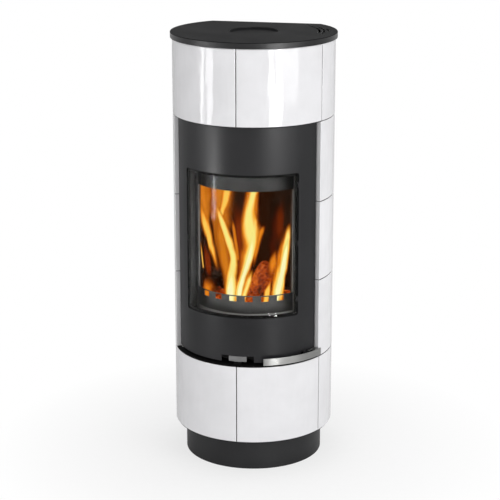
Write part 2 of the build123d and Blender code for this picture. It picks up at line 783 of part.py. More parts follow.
def make_floor_bricks():
    """Four bricks round the grate, split on the axes."""
    radius = body_inner - SILL_THICKNESS - SEAT_GAP
    back = body_back - BODY_WALL - SEAT_GAP
    slab = flat_backed(radius, back, floor_top, sill_top)
    slab -= disc(GRATE_RADIUS + BRICK_JOINT, floor_top - 1, sill_top + 1)
    half = BRICK_JOINT / 2
    reach = 2 * radius
    slab -= block((-half, half), (-reach, reach), (floor_top - 1, sill_top + 1))
    slab -= block((-reach, reach), (-half, half), (floor_top - 1, sill_top + 1))
    return slab


def make_wall_bricks():
    """Flat-faced brick at the rear and curved bricks on both sides of the fire."""
    outer = body_inner - SEAT_GAP
    back = body_back - BODY_WALL - SEAT_GAP
    front = back - BRICK_THICKNESS
    low = sill_top - 1
    high = baffle_bottom + 1
    rear = flat_backed(outer, back, sill_top, baffle_bottom) & behind(front, low, high)
    side = sector(outer - BRICK_THICKNESS, outer, sill_top, baffle_bottom, BRICK_FRONT, 179)
    side &= ahead_of(front - BRICK_JOINT, low, high)
    return group([rear, side, mirrored(side)])


def make_sill():
    """Three-piece sill in the bottom of the fire opening."""
    inner = body_inner - SILL_THICKNESS + SEAT_GAP
    edge = OPENING_HALF_ANGLE - arc(SEAT_GAP, body_radius)
    joint = arc(SILL_JOINT / 2, body_radius)
    bottom = opening_bottom + WELD_GAP
    spans = (
        (-edge, -SILL_SEAM - joint),
        (-SILL_SEAM + joint, SILL_SEAM - joint),
        (SILL_SEAM + joint, edge),
    )
    return group(
        [sector(inner, body_radius, bottom, sill_top, start, end) for start, end in spans]
    )


def make_ember_guard():
    """Curved guard on the sill with a row of square holes under its top edge."""
    outer = body_radius - SEAT_GAP
    inner = outer - GUARD_THICKNESS
    edge = OPENING_HALF_ANGLE - arc(SEAT_GAP, body_radius)
    bottom = sill_top + WELD_GAP
    top = bottom + GUARD_HEIGHT
    guard = sector(inner, outer, bottom, top, -edge, edge)
    hole_top = top - GUARD_HOLE_DROP
    half = arc(GUARD_HOLE_WIDTH / 2, outer)
    for index in range(GUARD_HOLES):
        middle = (index - (GUARD_HOLES - 1) / 2) * GUARD_PITCH
        guard -= sector(
            inner - 1, outer + 1, hole_top - GUARD_HOLE_HEIGHT, hole_top, middle - half, middle + half
        )
    return guard


def make_baffle():
    """Baffle brick on top of the wall bricks, open at the front."""
    radius = body_inner - SEAT_GAP
    back = body_back - BODY_WALL - SEAT_GAP
    plate = flat_backed(radius, back, baffle_bottom, baffle_top)
    return plate & behind(-body_inner + BAFFLE_FRONT_GAP, baffle_bottom - 1, baffle_top + 1)


def make_deflector():
    """Steel smoke deflector on two legs, open at the back."""
    top = deflector_bottom + BODY_WALL
    radius = body_inner - DEFLECTOR_INSET
    plate = flat_backed(radius, body_back - DEFLECTOR_BACK_GAP, deflector_bottom, top)
    half_wall = BODY_WALL / 2
    leg = block(
        (DEFLECTOR_LEG_SPREAD - half_wall, DEFLECTOR_LEG_SPREAD + half_wall),
        (-DEFLECTOR_LEG_DEPTH / 2, DEFLECTOR_LEG_DEPTH / 2),
        (baffle_top, deflector_bottom),
    )
    return plate + leg + mirrored(leg)


def make_stove_top():
    """Top plate of the stove body with the smoke outlet."""
    plate = flat_backed(body_radius, body_back, body_top, body_top + TOP_THICKNESS)
    return plate - disc(FLUE_RADIUS + WELD_GAP, body_top - 1, body_top + TOP_THICKNESS + 1)


def level_pipe(radius, level, start, end):
    """Solid round bar towards the back at a level."""
    return Pos(0, (start + end) / 2, level) * Rot(90, 0, 0) * Cylinder(radius, end - start)


def make_smoke_tee():
    """Upright smoke pipe with a rear outlet, swaged so that a flue pipe slides over it."""
    seat = body_top + TOP_THICKNESS
    bore = FLUE_RADIUS - FLUE_WALL
    rear_end = BACK_PLANE + FLUE_PROJECTION
    tee = disc(FLUE_RADIUS, body_top, collar_bottom)
    tee += disc(FLUE_RADIUS + FLANGE_WIDTH, seat, seat + FLANGE_THICKNESS)
    tee += level_pipe(FLUE_RADIUS, flue_axis, 0, BACK_PLANE)
    tee += level_pipe(FLUE_SPIGOT_RADIUS, flue_axis, BACK_PLANE, rear_end)
    tee -= disc(bore, body_top - 1, collar_bottom + 1)
    tee -= level_pipe(bore, flue_axis, 0, BACK_PLANE - FLUE_WALL)
    return tee - level_pipe(FLUE_SPIGOT_RADIUS - FLUE_WALL, flue_axis, 0, rear_end + 1)


# ================================================================ combustion air
def elbow(radius, rear_end, top):
    """Solid mitred elbow from the rear to the underside of the middle deck."""
    size = 2 * (rear_end + top)
    below_mitre = Pos(0, 0, duct_axis) * Rot(45, 0, 0) * Pos(0, 0, -size / 2) * Box(size, size, size)
    level = level_pipe(radius, duct_axis, -radius, rear_end)
    riser = disc(radius, duct_axis - radius, top)
    return (level & below_mitre) + (riser - below_mitre)


def make_air_duct():
    """Duct that brings outside air from the rear spigot up to the air valve."""
    rear_end = BACK_PLANE + DUCT_PROJECTION
    bore = DUCT_RADIUS - DUCT_WALL
    duct = elbow(DUCT_RADIUS, BACK_PLANE, mid_deck_bottom)
    duct += level_pipe(DUCT_SPIGOT_RADIUS, duct_axis, BACK_PLANE, rear_end)
    duct -= elbow(bore, BACK_PLANE - DUCT_WALL, mid_deck_bottom + 1)
    return duct - level_pipe(DUCT_SPIGOT_RADIUS - DUCT_WALL, duct_axis, 0, rear_end + 1)


def make_air_pivot():
    """Shouldered stud that the air valve turns on."""
    stud = disc(PIVOT_RADIUS, mid_deck_top, valve_top + VALVE_LIFT)
    head = disc(PIVOT_HEAD, valve_top + VALVE_LIFT, valve_top + VALVE_LIFT + VALVE_SHEET)
    return stud + head


def make_air_valve():
    """Rotary air valve with its lever and the tab below the door."""
    tab_outer = door_radius - TAB_SETBACK
    tab_inner = tab_outer - VALVE_SHEET
    valve = disc(VALVE_RADIUS, valve_bottom, valve_top)
    half = VALVE_SLOT_ANGLE / 2
    for index in range(VALVE_SLOTS):
        middle = index * 360 / VALVE_SLOTS - VALVE_TRAVEL
        low = valve_bottom - 1
        valve -= sector(VALVE_HUB, VALVE_MOUTH, low, valve_top + 1, middle - half, middle + half)
    inset = VALVE_RADIUS - VALVE_SHEET
    half_lever = LEVER_WIDTH / 2
    lever = block((-half_lever, half_lever), (-tab_outer, -inset), (valve_bottom, valve_top))
    lever &= disc(tab_outer, valve_bottom - 1, valve_top + 1)
    neck = arc(NECK_WIDTH / 2, tab_outer)
    tab_bottom = door_bottom + VALVE_SHEET / 2
    tab_top = door_bottom + NOTCH_HEIGHT - VALVE_SHEET / 2
    stem = sector(tab_inner, tab_outer, valve_bottom, tab_bottom, -neck, neck)
    tab = sector(tab_inner, tab_outer, tab_bottom, tab_top, -TAB_HALF_ANGLE, TAB_HALF_ANGLE)
    valve += lever + stem + tab
    return valve - disc(PIVOT_RADIUS + PIVOT_CLEARANCE, valve_bottom - 1, valve_top + 1)


# ================================================================ door
def make_door_panel():
    """Curved outer panel with the window and the two notches in its bottom edge."""
    half = door_half_angle
    panel = sector(door_inner, door_radius, door_bottom, door_top, -half, half)
    inner = door_inner - 1
    outer = door_radius + 1
    panel -= window(inner, outer, window_bottom, window_top, WINDOW_HALF_ANGLE, WINDOW_CORNER)
    notch_top = door_bottom + NOTCH_HEIGHT
    half = AIR_NOTCH_HALF_ANGLE
    panel -= sector(inner, outer, door_bottom - 1, notch_top, -half, half)
    end = door_half_angle + 1
    return panel - sector(inner, outer, door_bottom - 1, notch_top, LATCH_NOTCH_START, end)


def make_door_glass():
    """Curved pane, flush with the panel."""
    outer = door_radius - GLASS_INSET
    return window(
        outer - GLASS_THICKNESS,
        outer,
        window_bottom + GLASS_GAP,
        window_top - GLASS_GAP,
        glass_half_angle,
        WINDOW_CORNER - GLASS_GAP,
    )


def bearing_opening(inner, outer, widen):
    """Opening of the pan behind the pane."""
    inset = GLASS_GAP + GLASS_BEARING - widen
    return window(
        inner,
        outer,
        window_bottom + inset,
        window_top - inset,
        bearing_half_angle + arc(widen, pan_radius),
        WINDOW_CORNER - GLASS_GAP,
    )


def make_door_pan():
    """Pressed inner door: a web behind the pane and a rim with the groove for the rope seal."""
    low = pan_bottom
    high = pan_top
    half = PAN_HALF_ANGLE
    web_inner = pan_radius - PAN_SHEET
    rim = ROPE_GROOVE + 2 * ROPE_SHELL
    rim_angle = arc(rim, rope_radius)
    shell_angle = arc(ROPE_SHELL, rope_radius)
    pan = sector(rope_radius, pan_radius, low, high, -half, half)
    inner_half = half - rim_angle
    bed = rope_radius + ROPE_CHANNEL + 1
    pan -= sector(rope_radius - 1, bed, low + rim, high - rim, -inner_half, inner_half)
    wall_half = half - shell_angle
    wall = ROPE_SHELL
    pan -= sector(
        rope_radius + ROPE_CHANNEL, web_inner, low + wall, high - wall, -wall_half, wall_half
    )
    groove = sector(
        rope_radius - 1, rope_radius + ROPE_GROOVE, low + wall, high - wall, -wall_half, wall_half
    )
    groove -= sector(
        rope_radius - 2,
        rope_radius + ROPE_CHANNEL,
        low + wall + ROPE_GROOVE,
        high - wall - ROPE_GROOVE,
        -(wall_half - arc(ROPE_GROOVE, rope_radius)),
        wall_half - arc(ROPE_GROOVE, rope_radius),
    )
    pan -= groove
    return pan - bearing_opening(web_inner - 1, pan_radius + 1, 0)


def make_door_seal():
    """Rope seal in the pan's groove, squeezed against the stove body."""
    play = WELD_GAP
    low = pan_bottom + ROPE_SHELL + play
    high = pan_top - ROPE_SHELL - play
    half = PAN_HALF_ANGLE - arc(ROPE_SHELL + play, rope_radius)
    width = ROPE_GROOVE - 2 * play
    outer = rope_radius + ROPE_GROOVE - play
    inner = body_radius + SEAT_GAP
    rope = sector(inner, outer, low, high, -half, half)
    inner_half = half - arc(width, rope_radius)
    return rope - sector(inner - 1, outer + 1, low + width, high - width, -inner_half, inner_half)


def make_glass_seal():
    """Flat dark seal between the pan and the pane."""
    low = pan_radius + WELD_GAP
    high = door_radius - GLASS_INSET - GLASS_THICKNESS - WELD_GAP
    reach = SEAL_LAP
    outside = window(
        low,
        high,
        window_bottom - reach,
        window_top + reach,
        WINDOW_HALF_ANGLE + arc(reach, door_radius),
        WINDOW_CORNER,
    )
    return outside - bearing_opening(low - 1, high + 1, SEAT_GAP)


def make_glass_clips():
    """Clips in the joint at both sides of the pane."""
    inner = door_radius - GLASS_INSET - GLASS_THICKNESS
    outer = door_radius + GLASS_INSET
    start = glass_half_angle + arc(CLIP_CLEARANCE, door_radius)
    end = WINDOW_HALF_ANGLE - arc(CLIP_CLEARANCE, door_radius)
    clips = []
    for level in CLIP_LEVELS:
        middle = window_bottom + level
        clip = sector(inner, outer, middle - CLIP_HEIGHT / 2, middle + CLIP_HEIGHT / 2, start, end)
        clips += [clip, mirrored(clip)]
    return group(clips)


def make_door_liner():
    """Insulating slab in the pan below the window."""
    outer = pan_radius - PAN_SHEET - SEAT_GAP
    half = PAN_HALF_ANGLE - arc(ROPE_GROOVE + 2 * ROPE_SHELL + LINER_MARGIN, rope_radius)
    bottom = pan_bottom + ROPE_SHELL + LINER_MARGIN
    top = opening_bottom - LINER_MARGIN
    return sector(outer - LINER_THICKNESS, outer, bottom, top, -half, half)


def hinge_strap(bottom):
    """Strap behind the door's left edge that holds a hinge pin."""
    outer = door_inner - WELD_GAP
    start = -door_half_angle + arc(STRAP_EDGE, door_radius)
    end = start + arc(STRAP_LENGTH, door_radius)
    return sector(outer - STRAP_DEPTH, outer, bottom, bottom + STRAP_THICKNESS, start, end)


def make_hinge_straps():
    """Lower and upper hinge straps with their pins."""
    low = door_bottom + STRAP_FOOT
    high = door_top - STRAP_HEAD - STRAP_THICKNESS
    pin = HINGE_PIN_RADIUS
    lower = hinge_strap(low) + upright(hinge_radius, hinge_azimuth, pin, mid_deck_bottom, low)
    high_face = high + STRAP_THICKNESS
    upper = hinge_strap(high) + upright(hinge_radius, hinge_azimuth, pin, high_face, top_deck_top)
    return group([lower, upper])


def make_hinge_bushes():
    """Bushes in the middle and top decks."""
    bore = HINGE_PIN_RADIUS + HINGE_CLEARANCE
    bushes = []
    for low, high in (
        (mid_deck_bottom, mid_deck_top + BUSH_RISE),
        (top_deck_bottom - DOOR_HEAD_GAP + SEAT_GAP, top_deck_top),
    ):
        outside = upright(hinge_radius, hinge_azimuth, BUSH_RADIUS, low, high)
        bushes.append(outside - upright(hinge_radius, hinge_azimuth, bore, low - 1, high + 1))
    return group(bushes)


# ================================================================ handle and latch
def at_handle(across, inwards):
    """Point measured from the handle's pivot: to the right along the door, and inwards."""
    turn = radians(HANDLE_PIVOT_AZIMUTH)
    x, y = polar(handle_pivot_radius, HANDLE_PIVOT_AZIMUTH)
    return x + across * cos(turn) - inwards * sin(turn), y + across * sin(turn) + inwards * cos(turn)


def slab(points, bottom, thickness):
    """Flat plate with a straight-sided outline in plan."""
    face = make_face(Polyline(*points, close=True))
    return extrude(Pos(0, 0, bottom) * face, thickness, dir=(0, 0, 1))


def at_pivot(radius, bottom, top):
    """Upright round piece on the handle's pivot."""
    return upright(handle_pivot_radius, HANDLE_PIVOT_AZIMUTH, radius, bottom, top)


def make_latch_bracket():
    """Plate behind the panel with the lug that carries the handle's pivot."""
    outer = door_inner - WELD_GAP
    inner = outer - LUG_PLATE_THICKNESS
    middle = HANDLE_PIVOT_AZIMUTH - arc(LUG_PLATE_WIDTH / 2, door_radius)
    half = arc(LUG_PLATE_WIDTH / 2 - SEAT_GAP, door_radius)
    top = lug_bottom + LUG_PLATE_HEIGHT
    plate = sector(inner, outer, lug_bottom, top, middle - half, middle + half)
    sweep = LATCH_REACH * sin(radians(HANDLE_TRAVEL))
    left = LATCH_TIP_OFFSET - LATCH_TIP_WIDTH - sweep - HANDLE_PLAY
    near = handle_pivot_radius - door_radius
    slot = [
        at_handle(left, near),
        at_handle(LUG_PLATE_WIDTH, near),
        at_handle(LUG_PLATE_WIDTH, LATCH_REACH),
        at_handle(left, LATCH_REACH),
    ]
    plate -= slab(slot, latch_bottom - HANDLE_PLAY, LATCH_THICKNESS + 2 * HANDLE_PLAY)
    half_neck = LUG_NECK / 2
    depth = handle_pivot_radius - outer + LUG_PLATE_THICKNESS / 2
    outline = [
        at_handle(-half_neck, 0),
        at_handle(half_neck, 0),
        at_handle(half_neck, depth / 2),
        at_handle(-half_neck, depth),
        at_handle(-2 * LUG_NECK, depth),
    ]
    lug = slab(outline, lug_bottom, LUG_THICKNESS)
    eye = at_pivot(KNUCKLE_RADIUS, lug_bottom, lug_top)
    bore = at_pivot(HANDLE_PIN_RADIUS + HANDLE_PIN_CLEARANCE, lug_bottom - 1, lug_top + 1)
    return plate + lug + eye - bore


def make_handle_strip():
    """Curved pull strip with two knuckles at its right end."""
    strip = sector(handle_inner, handle_outer, handle_bottom, handle_top, HANDLE_START, HANDLE_END)
    half = KNUCKLE_WEB / 2
    reach = HANDLE_PIVOT_GAP + HANDLE_SHEET / 2
    outline = [
        at_handle(-half, 0),
        at_handle(half, 0),
        at_handle(half, -reach),
        at_handle(-half, -reach),
    ]
    for low in (lug_bottom - KNUCKLE_PLAY - KNUCKLE_HEIGHT, lug_top + KNUCKLE_PLAY):
        strip += slab(outline, low, KNUCKLE_HEIGHT)
        strip += at_pivot(KNUCKLE_RADIUS, low, low + KNUCKLE_HEIGHT)
    return strip - at_pivot(HANDLE_PIN_RADIUS, handle_bottom - 1, latch_bottom)


def make_latch_spindle():
    """Spindle pressed into the knuckles, with the latch lever on its head."""
    half = KNUCKLE_WEB / 2
    left = LATCH_TIP_OFFSET - LATCH_TIP_WIDTH
    near = handle_pivot_radius - door_inner - LATCH_HEEL_WIDTH - SEAT_GAP
    outline = [
        at_handle(half, 0),
        at_handle(half, near),
        at_handle(LATCH_TIP_OFFSET, near + LATCH_HEEL_WIDTH),
        at_handle(LATCH_TIP_OFFSET, LATCH_REACH),
        at_handle(left, LATCH_REACH),
        at_handle(left, near + LATCH_HEEL_WIDTH),
        at_handle(-LATCH_HEEL_LENGTH, near + LATCH_HEEL_WIDTH),
        at_handle(-LATCH_HEEL_LENGTH, near),
        at_handle(-half, near),
        at_handle(-half, 0),
    ]
    lever = slab(outline, latch_bottom, LATCH_THICKNESS)
    boss = at_pivot(KNUCKLE_RADIUS, latch_bottom, latch_bottom + LATCH_THICKNESS)
    low = lug_bottom - KNUCKLE_PLAY - KNUCKLE_HEIGHT
    return lever + boss + at_pivot(HANDLE_PIN_RADIUS, low, latch_bottom)


def make_latch_catch():
    """Catch on the right side casing, beside the lever's tip."""
    tip = LATCH_TIP_OFFSET + CATCH_PLAY
    start = HANDLE_PIVOT_AZIMUTH + arc(tip, handle_pivot_radius - LATCH_REACH)
    end = DOORWAY - arc(SHEET, casing_radius)
    middle = latch_bottom + LATCH_THICKNESS / 2
    half = CATCH_HEIGHT / 2
    inner = casing_radius - CATCH_DEPTH
    return sector(inner, casing_radius, middle - half, middle + half, start, end)


# ================================================================ output
PARTS = {
    "base_plate": make_base_plate,
    "levelling_screws": make_levelling_screws,
    "plinth_shell": make_plinth_shell,
    "lower_deck": make_lower_deck,
    "columns": make_columns,
    "lower_casing": lambda: make_ring_casing(lower_deck_top, mid_deck_bottom),
    "mid_deck": make_mid_deck,
    "side_casings": make_side_casings,
    "upper_casing": lambda: make_ring_casing(top_deck_top, plate_bottom),
    "top_deck": make_top_deck,
    "tile_brackets": make_tile_brackets,
    "tile_spacers": make_tile_spacers,
    "back_panel": make_back_panel,
    "back_screws": make_back_screws,
    "top_plate": make_top_plate,
    "flue_collar": make_flue_collar,
    "top_cover": make_top_cover,
    "stove_shell": make_stove_shell,
    "ash_shelf": make_ash_shelf,
    "ash_pan": make_ash_pan,
    "stove_floor": make_stove_floor,
    "grate": make_grate,
    "floor_bricks": make_floor_bricks,
    "wall_bricks": make_wall_bricks,
    "sill": make_sill,
    "ember_guard": make_ember_guard,
    "baffle": make_baffle,
    "deflector": make_deflector,
    "stove_top": make_stove_top,
    "smoke_tee": make_smoke_tee,
    "air_duct": make_air_duct,
    "air_pivot": make_air_pivot,
    "air_valve": make_air_valve,
    "door_panel": make_door_panel,
    "door_glass": make_door_glass,
    "door_pan": make_door_pan,
    "door_seal": make_door_seal,
    "glass_seal": make_glass_seal,
    "glass_clips": make_glass_clips,
    "door_liner": make_door_liner,
    "hinge_straps": make_hinge_straps,
    "hinge_bushes": make_hinge_bushes,
    "latch_bracket": make_latch_bracket,
    "handle_strip": make_handle_strip,
    "latch_spindle": make_latch_spindle,
    "latch_catch": make_latch_catch,
}


def write_part(name, shape):
    """Write one piece, or one group of like pieces, to its STEP file."""
    solids = shape.solids()
    export_step(solids[0] if len(solids) == 1 else Compound(solids), f"parts/{name}.step")


os.makedirs("parts", exist_ok=True)
for part_name, make in PARTS.items():
    write_part(part_name, make())
for tile_place in right_side_places():
    tile = make_tile(tile_place)
    write_part(tile_place.name, tile)
    write_part(tile_place.name.replace("right", "left"), mirrored(tile))

print("hinge", [round(value, 3) for value in polar(hinge_radius, hinge_azimuth)])
print("handle", [round(value, 3) for value in polar(handle_pivot_radius, HANDLE_PIVOT_AZIMUTH)])
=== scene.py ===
"""Looks of the round tiled stove: glazed cladding, coated steel, curved pane and a lit wood fire.

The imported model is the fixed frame. Every piece here is made in metres in the same frame, with the
stove's axis on Z and the door towards -Y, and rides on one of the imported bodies.
"""

import json
import logging
import math
from collections.abc import Callable
from dataclasses import dataclass
from enum import Enum

import bmesh
import bpy
from mathutils import Matrix, Vector, noise

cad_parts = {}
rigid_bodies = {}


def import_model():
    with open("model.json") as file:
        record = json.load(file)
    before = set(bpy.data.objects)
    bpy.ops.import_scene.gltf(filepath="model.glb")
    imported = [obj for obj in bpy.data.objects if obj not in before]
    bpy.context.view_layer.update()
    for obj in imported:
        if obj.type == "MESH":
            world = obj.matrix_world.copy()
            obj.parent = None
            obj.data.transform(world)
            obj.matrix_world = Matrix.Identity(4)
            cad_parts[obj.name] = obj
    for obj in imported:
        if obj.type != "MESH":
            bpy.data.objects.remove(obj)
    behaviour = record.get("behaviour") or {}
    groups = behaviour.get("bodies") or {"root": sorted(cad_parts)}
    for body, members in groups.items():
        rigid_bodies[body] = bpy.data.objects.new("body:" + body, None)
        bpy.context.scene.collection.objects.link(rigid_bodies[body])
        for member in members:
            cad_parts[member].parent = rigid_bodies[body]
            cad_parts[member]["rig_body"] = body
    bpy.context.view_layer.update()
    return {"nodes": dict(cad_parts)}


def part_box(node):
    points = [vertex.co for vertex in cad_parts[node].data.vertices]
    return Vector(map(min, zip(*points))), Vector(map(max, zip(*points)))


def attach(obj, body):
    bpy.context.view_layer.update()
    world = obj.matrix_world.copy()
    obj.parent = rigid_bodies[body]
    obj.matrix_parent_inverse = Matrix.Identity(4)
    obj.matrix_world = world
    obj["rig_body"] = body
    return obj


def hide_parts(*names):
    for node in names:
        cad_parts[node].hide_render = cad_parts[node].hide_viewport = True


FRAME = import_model()
LOG = logging.getLogger("tiled_stove")
Colour = tuple[float, float, float]
Face = bpy.types.MeshPolygon
Mesh = bmesh.types.BMesh
Piece = bpy.types.Object
Socket = bpy.types.NodeSocket

EDGE_ANGLE = math.radians(38.0)      # edges sharper than this are rounded
CREASE_ANGLE = math.radians(32.0)    # edges sharper than this stay sharp where nothing is rounded
FLAT_ANGLE = math.radians(0.4)       # faces bent less than this are made one
BROAD_WEIGHT = 60                    # how strongly broad faces lead the shading
TOLERANCE = 1e-4                     # points nearer than this to a surface lie on it
WELD = 2e-6                          # points nearer than this to each other are made one
WHITE = (1.0, 1.0, 1.0)


class Body(Enum):
    """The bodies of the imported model."""

    STOVE = "stove"
    DOOR = "door"
    HANDLE = "handle"
    AIR = "air"
    COVER = "cover"


# ---------------- shared geometry
def polar(radius: float, azimuth: float, height: float = 0.0) -> Vector:
    """Gives a point from its place around the stove.

    Args:
        radius: Distance from the stove's axis.
        azimuth: Degrees from the middle of the door, positive to the right.
        height: Height above the floor.

    Returns:
        The point.
    """
    angle = math.radians(azimuth)
    return Vector((radius * math.sin(angle), -radius * math.cos(angle), height))


def smooth_path(points: list[Vector], steps: int) -> list[Vector]:
    """Runs a smooth curve through points.

    Args:
        points: The points that the curve passes.
        steps: Number of points wanted.

    Returns:
        Evenly spread points of a Catmull-Rom curve.
    """
    ends = [2 * points[0] - points[1], *points, 2 * points[-1] - points[-2]]
    result = []
    for step in range(steps):
        run = step / (steps - 1) * (len(points) - 1)
        index = min(int(run), len(points) - 2)
        t = run - index
        a, b, c, d = ends[index : index + 4]
        bend = (2 * b) + (c - a) * t + (2 * a - 5 * b + 4 * c - d) * t * t
        result.append((bend + (3 * b - a - 3 * c + d) * t * t * t) / 2)
    return result


def shaded(colour: Colour, share: float) -> Colour:
    """Gives a share of a colour, darker below 1 and lighter above it."""
    return tuple(share * value for value in colour)


def outward(face: Face) -> float:
    """Gives how far a face looks away from the stove's axis, from -1 to 1."""
    return face.normal.dot(Vector((face.center.x, face.center.y, 0.0)).normalized())


def everything(mesh: Mesh) -> list[object]:
    """Lists all the vertices, edges and faces of a mesh."""
    return mesh.verts[:] + mesh.edges[:] + mesh.faces[:]


def smooth_faces(data: bpy.types.Mesh) -> None:
    """Shades every face of a mesh smooth."""
    for face in data.polygons:
        face.use_smooth = True


def stand(name: str, data: bpy.types.ID) -> Piece:
    """Puts a mesh, lamp or camera into the scene.

    Args:
        name: The object's name.
        data: What it shows.

    Returns:
        The object, at the origin.
    """
    made = bpy.data.objects.new(name, data)
    bpy.context.scene.collection.objects.link(made)
    return made


def finish_piece(mesh: Mesh, name: str, finish: "Finish", body: Body = Body.STOVE) -> Piece:
    """Turns a shaped mesh into a piece of the stove.

    Args:
        mesh: The finished shape, which is freed here.
        name: The piece's name.
        finish: Its finish.
        body: The body that it rides on.

    Returns:
        The object, at the origin, with its place in its mesh.
    """
    data = bpy.data.meshes.new(name)
    mesh.to_mesh(data)
    mesh.free()
    smooth_faces(data)
    data.materials.append(finish.material())
    piece = stand(name, data)
    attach(piece, body.value)
    LOG.info("piece %s: %d faces, %s, rides on %s", name, len(data.polygons), finish.name, body.value)
    return piece


def recoat(piece: Piece, finish: "Finish", chosen: Callable[[Face], bool]) -> None:
    """Gives some faces of a piece one more finish.

    Args:
        piece: The piece.
        finish: The finish to add.
        chosen: Tells whether a face gets it.
    """
    materials = piece.data.materials
    materials.append(finish.material())
    for face in piece.data.polygons:
        if chosen(face):
            face.material_index = len(materials) - 1


def lead_with_broad_faces(piece: Piece) -> None:
    """Lets a piece's broad faces lead the shading of its rounded edges."""
    weighted = piece.modifiers.new("broad faces lead", "WEIGHTED_NORMAL")
    weighted.weight = BROAD_WEIGHT


def round_edges(piece: Piece, width: float, segments: int) -> None:
    """Rounds a piece's edges and lets its broad faces lead the shading.

    Args:
        piece: The piece.
        width: Width of the rounding.
        segments: Faces across the rounding.
    """
    piece.data.set_sharp_from_angle(angle=EDGE_ANGLE)
    bevel = piece.modifiers.new("rounded edges", "BEVEL")
    bevel.width = width
    bevel.segments = segments
    bevel.limit_method = "ANGLE"
    bevel.angle_limit = EDGE_ANGLE
    bevel.use_clamp_overlap = False
    bevel.miter_outer = "MITER_SHARP"
    lead_with_broad_faces(piece)


# ---------------- node trees
class NodeSheet:
    """A node tree, with the nodes that the room and the finishes share."""

    def __init__(self, owner: bpy.types.Material | bpy.types.World) -> None:
        """Starts an empty tree.

        Args:
            owner: The material or world that it belongs to.
        """
        owner.use_nodes = True
        self.tree = owner.node_tree
        self.tree.nodes.clear()

    def node(self, kind: str, inputs: dict | None = None, **settings: object) -> bpy.types.Node:
        """Adds a node.

        Args:
            kind: Blender's name of the node, after "ShaderNode".
            inputs: Values of its inputs, sockets that give them, or None to leave them.
            **settings: Values of its properties.

        Returns:
            The node.
        """
        made = self.tree.nodes.new("ShaderNode" + kind)
        for key, value in settings.items():
            setattr(made, key, value)
        for key, value in (inputs or {}).items():
            if value is not None:
                self.feed(made.inputs[key], value)
        return made

    def feed(self, target: Socket, value: object) -> None:
        """Sets a socket.

        Args:
            target: The socket.
            value: Its value, or a socket that gives it.
        """
        if isinstance(value, Socket):
            self.tree.links.new(value, target)
        elif target.type == "RGBA" and len(value) == 3:
            target.default_value = (*value, 1.0)
        else:
            target.default_value = value

    def level(
        self, factor: Socket, low: float, high: float, start: float = 0.0, end: float = 1.0
    ) -> Socket:
        """Maps a number from start..end to low..high, clamped."""
        inputs = {"Value": factor, "From Min": start, "From Max": end, "To Min": low, "To Max": high}
        return self.node("MapRange", inputs).outputs["Result"]

    def sum(self, operation: str, first: object, second: object = 0.0) -> Socket:
        """Does arithmetic on two values or sockets."""
        return self.node("Math", {0: first, 1: second}, operation=operation).outputs["Value"]


class Skin(NodeSheet):
    """A material's tree: one Principled shader and patterns on the piece's own coordinates."""

    def __init__(self, name: str) -> None:
        """Starts a material.

        Args:
            name: The material's name.
        """
        self.material = bpy.data.materials.new(name)
        super().__init__(self.material)
        self.shader = self.node("BsdfPrincipled")
        self.output = self.node("OutputMaterial", {"Surface": self.shader.outputs["BSDF"]})
        coordinates = self.node("TexCoord")
        self.place = coordinates.outputs["Object"]
        self.flat = coordinates.outputs["UV"]

    def put(self, name: str, value: object) -> None:
        """Sets one of the shader's sockets, or links it where the value is a socket."""
        self.feed(self.shader.inputs[name], value)

    def coat(self, colour: object, roughness: object, normal: Socket) -> None:
        """Sets what every solid finish has."""
        for name, value in (("Base Color", colour), ("Roughness", roughness), ("Normal", normal)):
            self.put(name, value)

    def stretched(self, scale: Colour, turn: Colour = (0.0, 0.0, 0.0)) -> Socket:
        """Turns the piece's coordinates, in degrees, and stretches them."""
        inputs = {"Vector": self.place, "Scale": scale, "Rotation": tuple(map(math.radians, turn))}
        return self.node("Mapping", inputs).outputs["Vector"]

    def grain(
        self, scale: float, detail: float = 3.0, vector: Socket | None = None, warp: float = 0.0
    ) -> Socket:
        """Adds noise from 0 to 1, with cells per metre, octaves and how far it distorts itself."""
        inputs = {"Scale": scale, "Detail": detail, "Distortion": warp, "Vector": vector or self.place}
        return self.node("TexNoise", inputs).outputs["Fac"]

    def cells(self, scale: float, output: str = "Distance", vector: Socket | None = None) -> Socket:
        """Adds a pattern of cells, so many per metre, and gives one of its outputs."""
        inputs = {"Scale": scale, "Vector": vector or self.place}
        return self.node("TexVoronoi", inputs).outputs[output]

    def tint(self, factor: Socket, *stops: tuple[float, Colour]) -> Socket:
        """Colours a number.

        Args:
            factor: The number.
            *stops: Positions and their colours.

        Returns:
            The colour.
        """
        ramp = self.node("ValToRGB", {"Fac": factor})
        band = ramp.color_ramp
        while len(band.elements) < len(stops):
            band.elements.new(0.5)
        for element, (position, colour) in zip(band.elements, stops):
            element.position = position
            element.color = (*colour, 1.0)
        return ramp.outputs["Color"]

    def part(self, vector: Socket, axis: str) -> Socket:
        """Takes one axis of a vector."""
        return self.node("SeparateXYZ", {"Vector": vector}).outputs[axis]

    def relief(self, height: Socket, depth: float, under: Socket | None = None) -> Socket:
        """Makes bumps of a depth in metres, on coarser bumps where there are any."""
        inputs = {"Height": height, "Distance": depth, "Strength": 1.0, "Normal": under}
        return self.node("Bump", inputs).outputs["Normal"]


# ---------------- finishes
MIDST = (0.3, 0.7)                   # where most of a noise's values lie
SOOT = (0.006, 0.005, 0.005)


@dataclass(frozen=True)
class Finish:
    """A finish: its name, and the record's slot that it stands for; the slot is not used."""

    name: str
    slot: str

    def material(self) -> bpy.types.Material:
        """Gives the finish's material, made once.

        Returns:
            The material.
        """
        known = bpy.data.materials.get(self.name)
        if known is None:
            skin = Skin(self.name)
            self.dress(skin)
            known = skin.material
        return known

    def dress(self, skin: Skin) -> None:
        """Sets the material's nodes; each kind of finish has its own way."""
        raise NotImplementedError


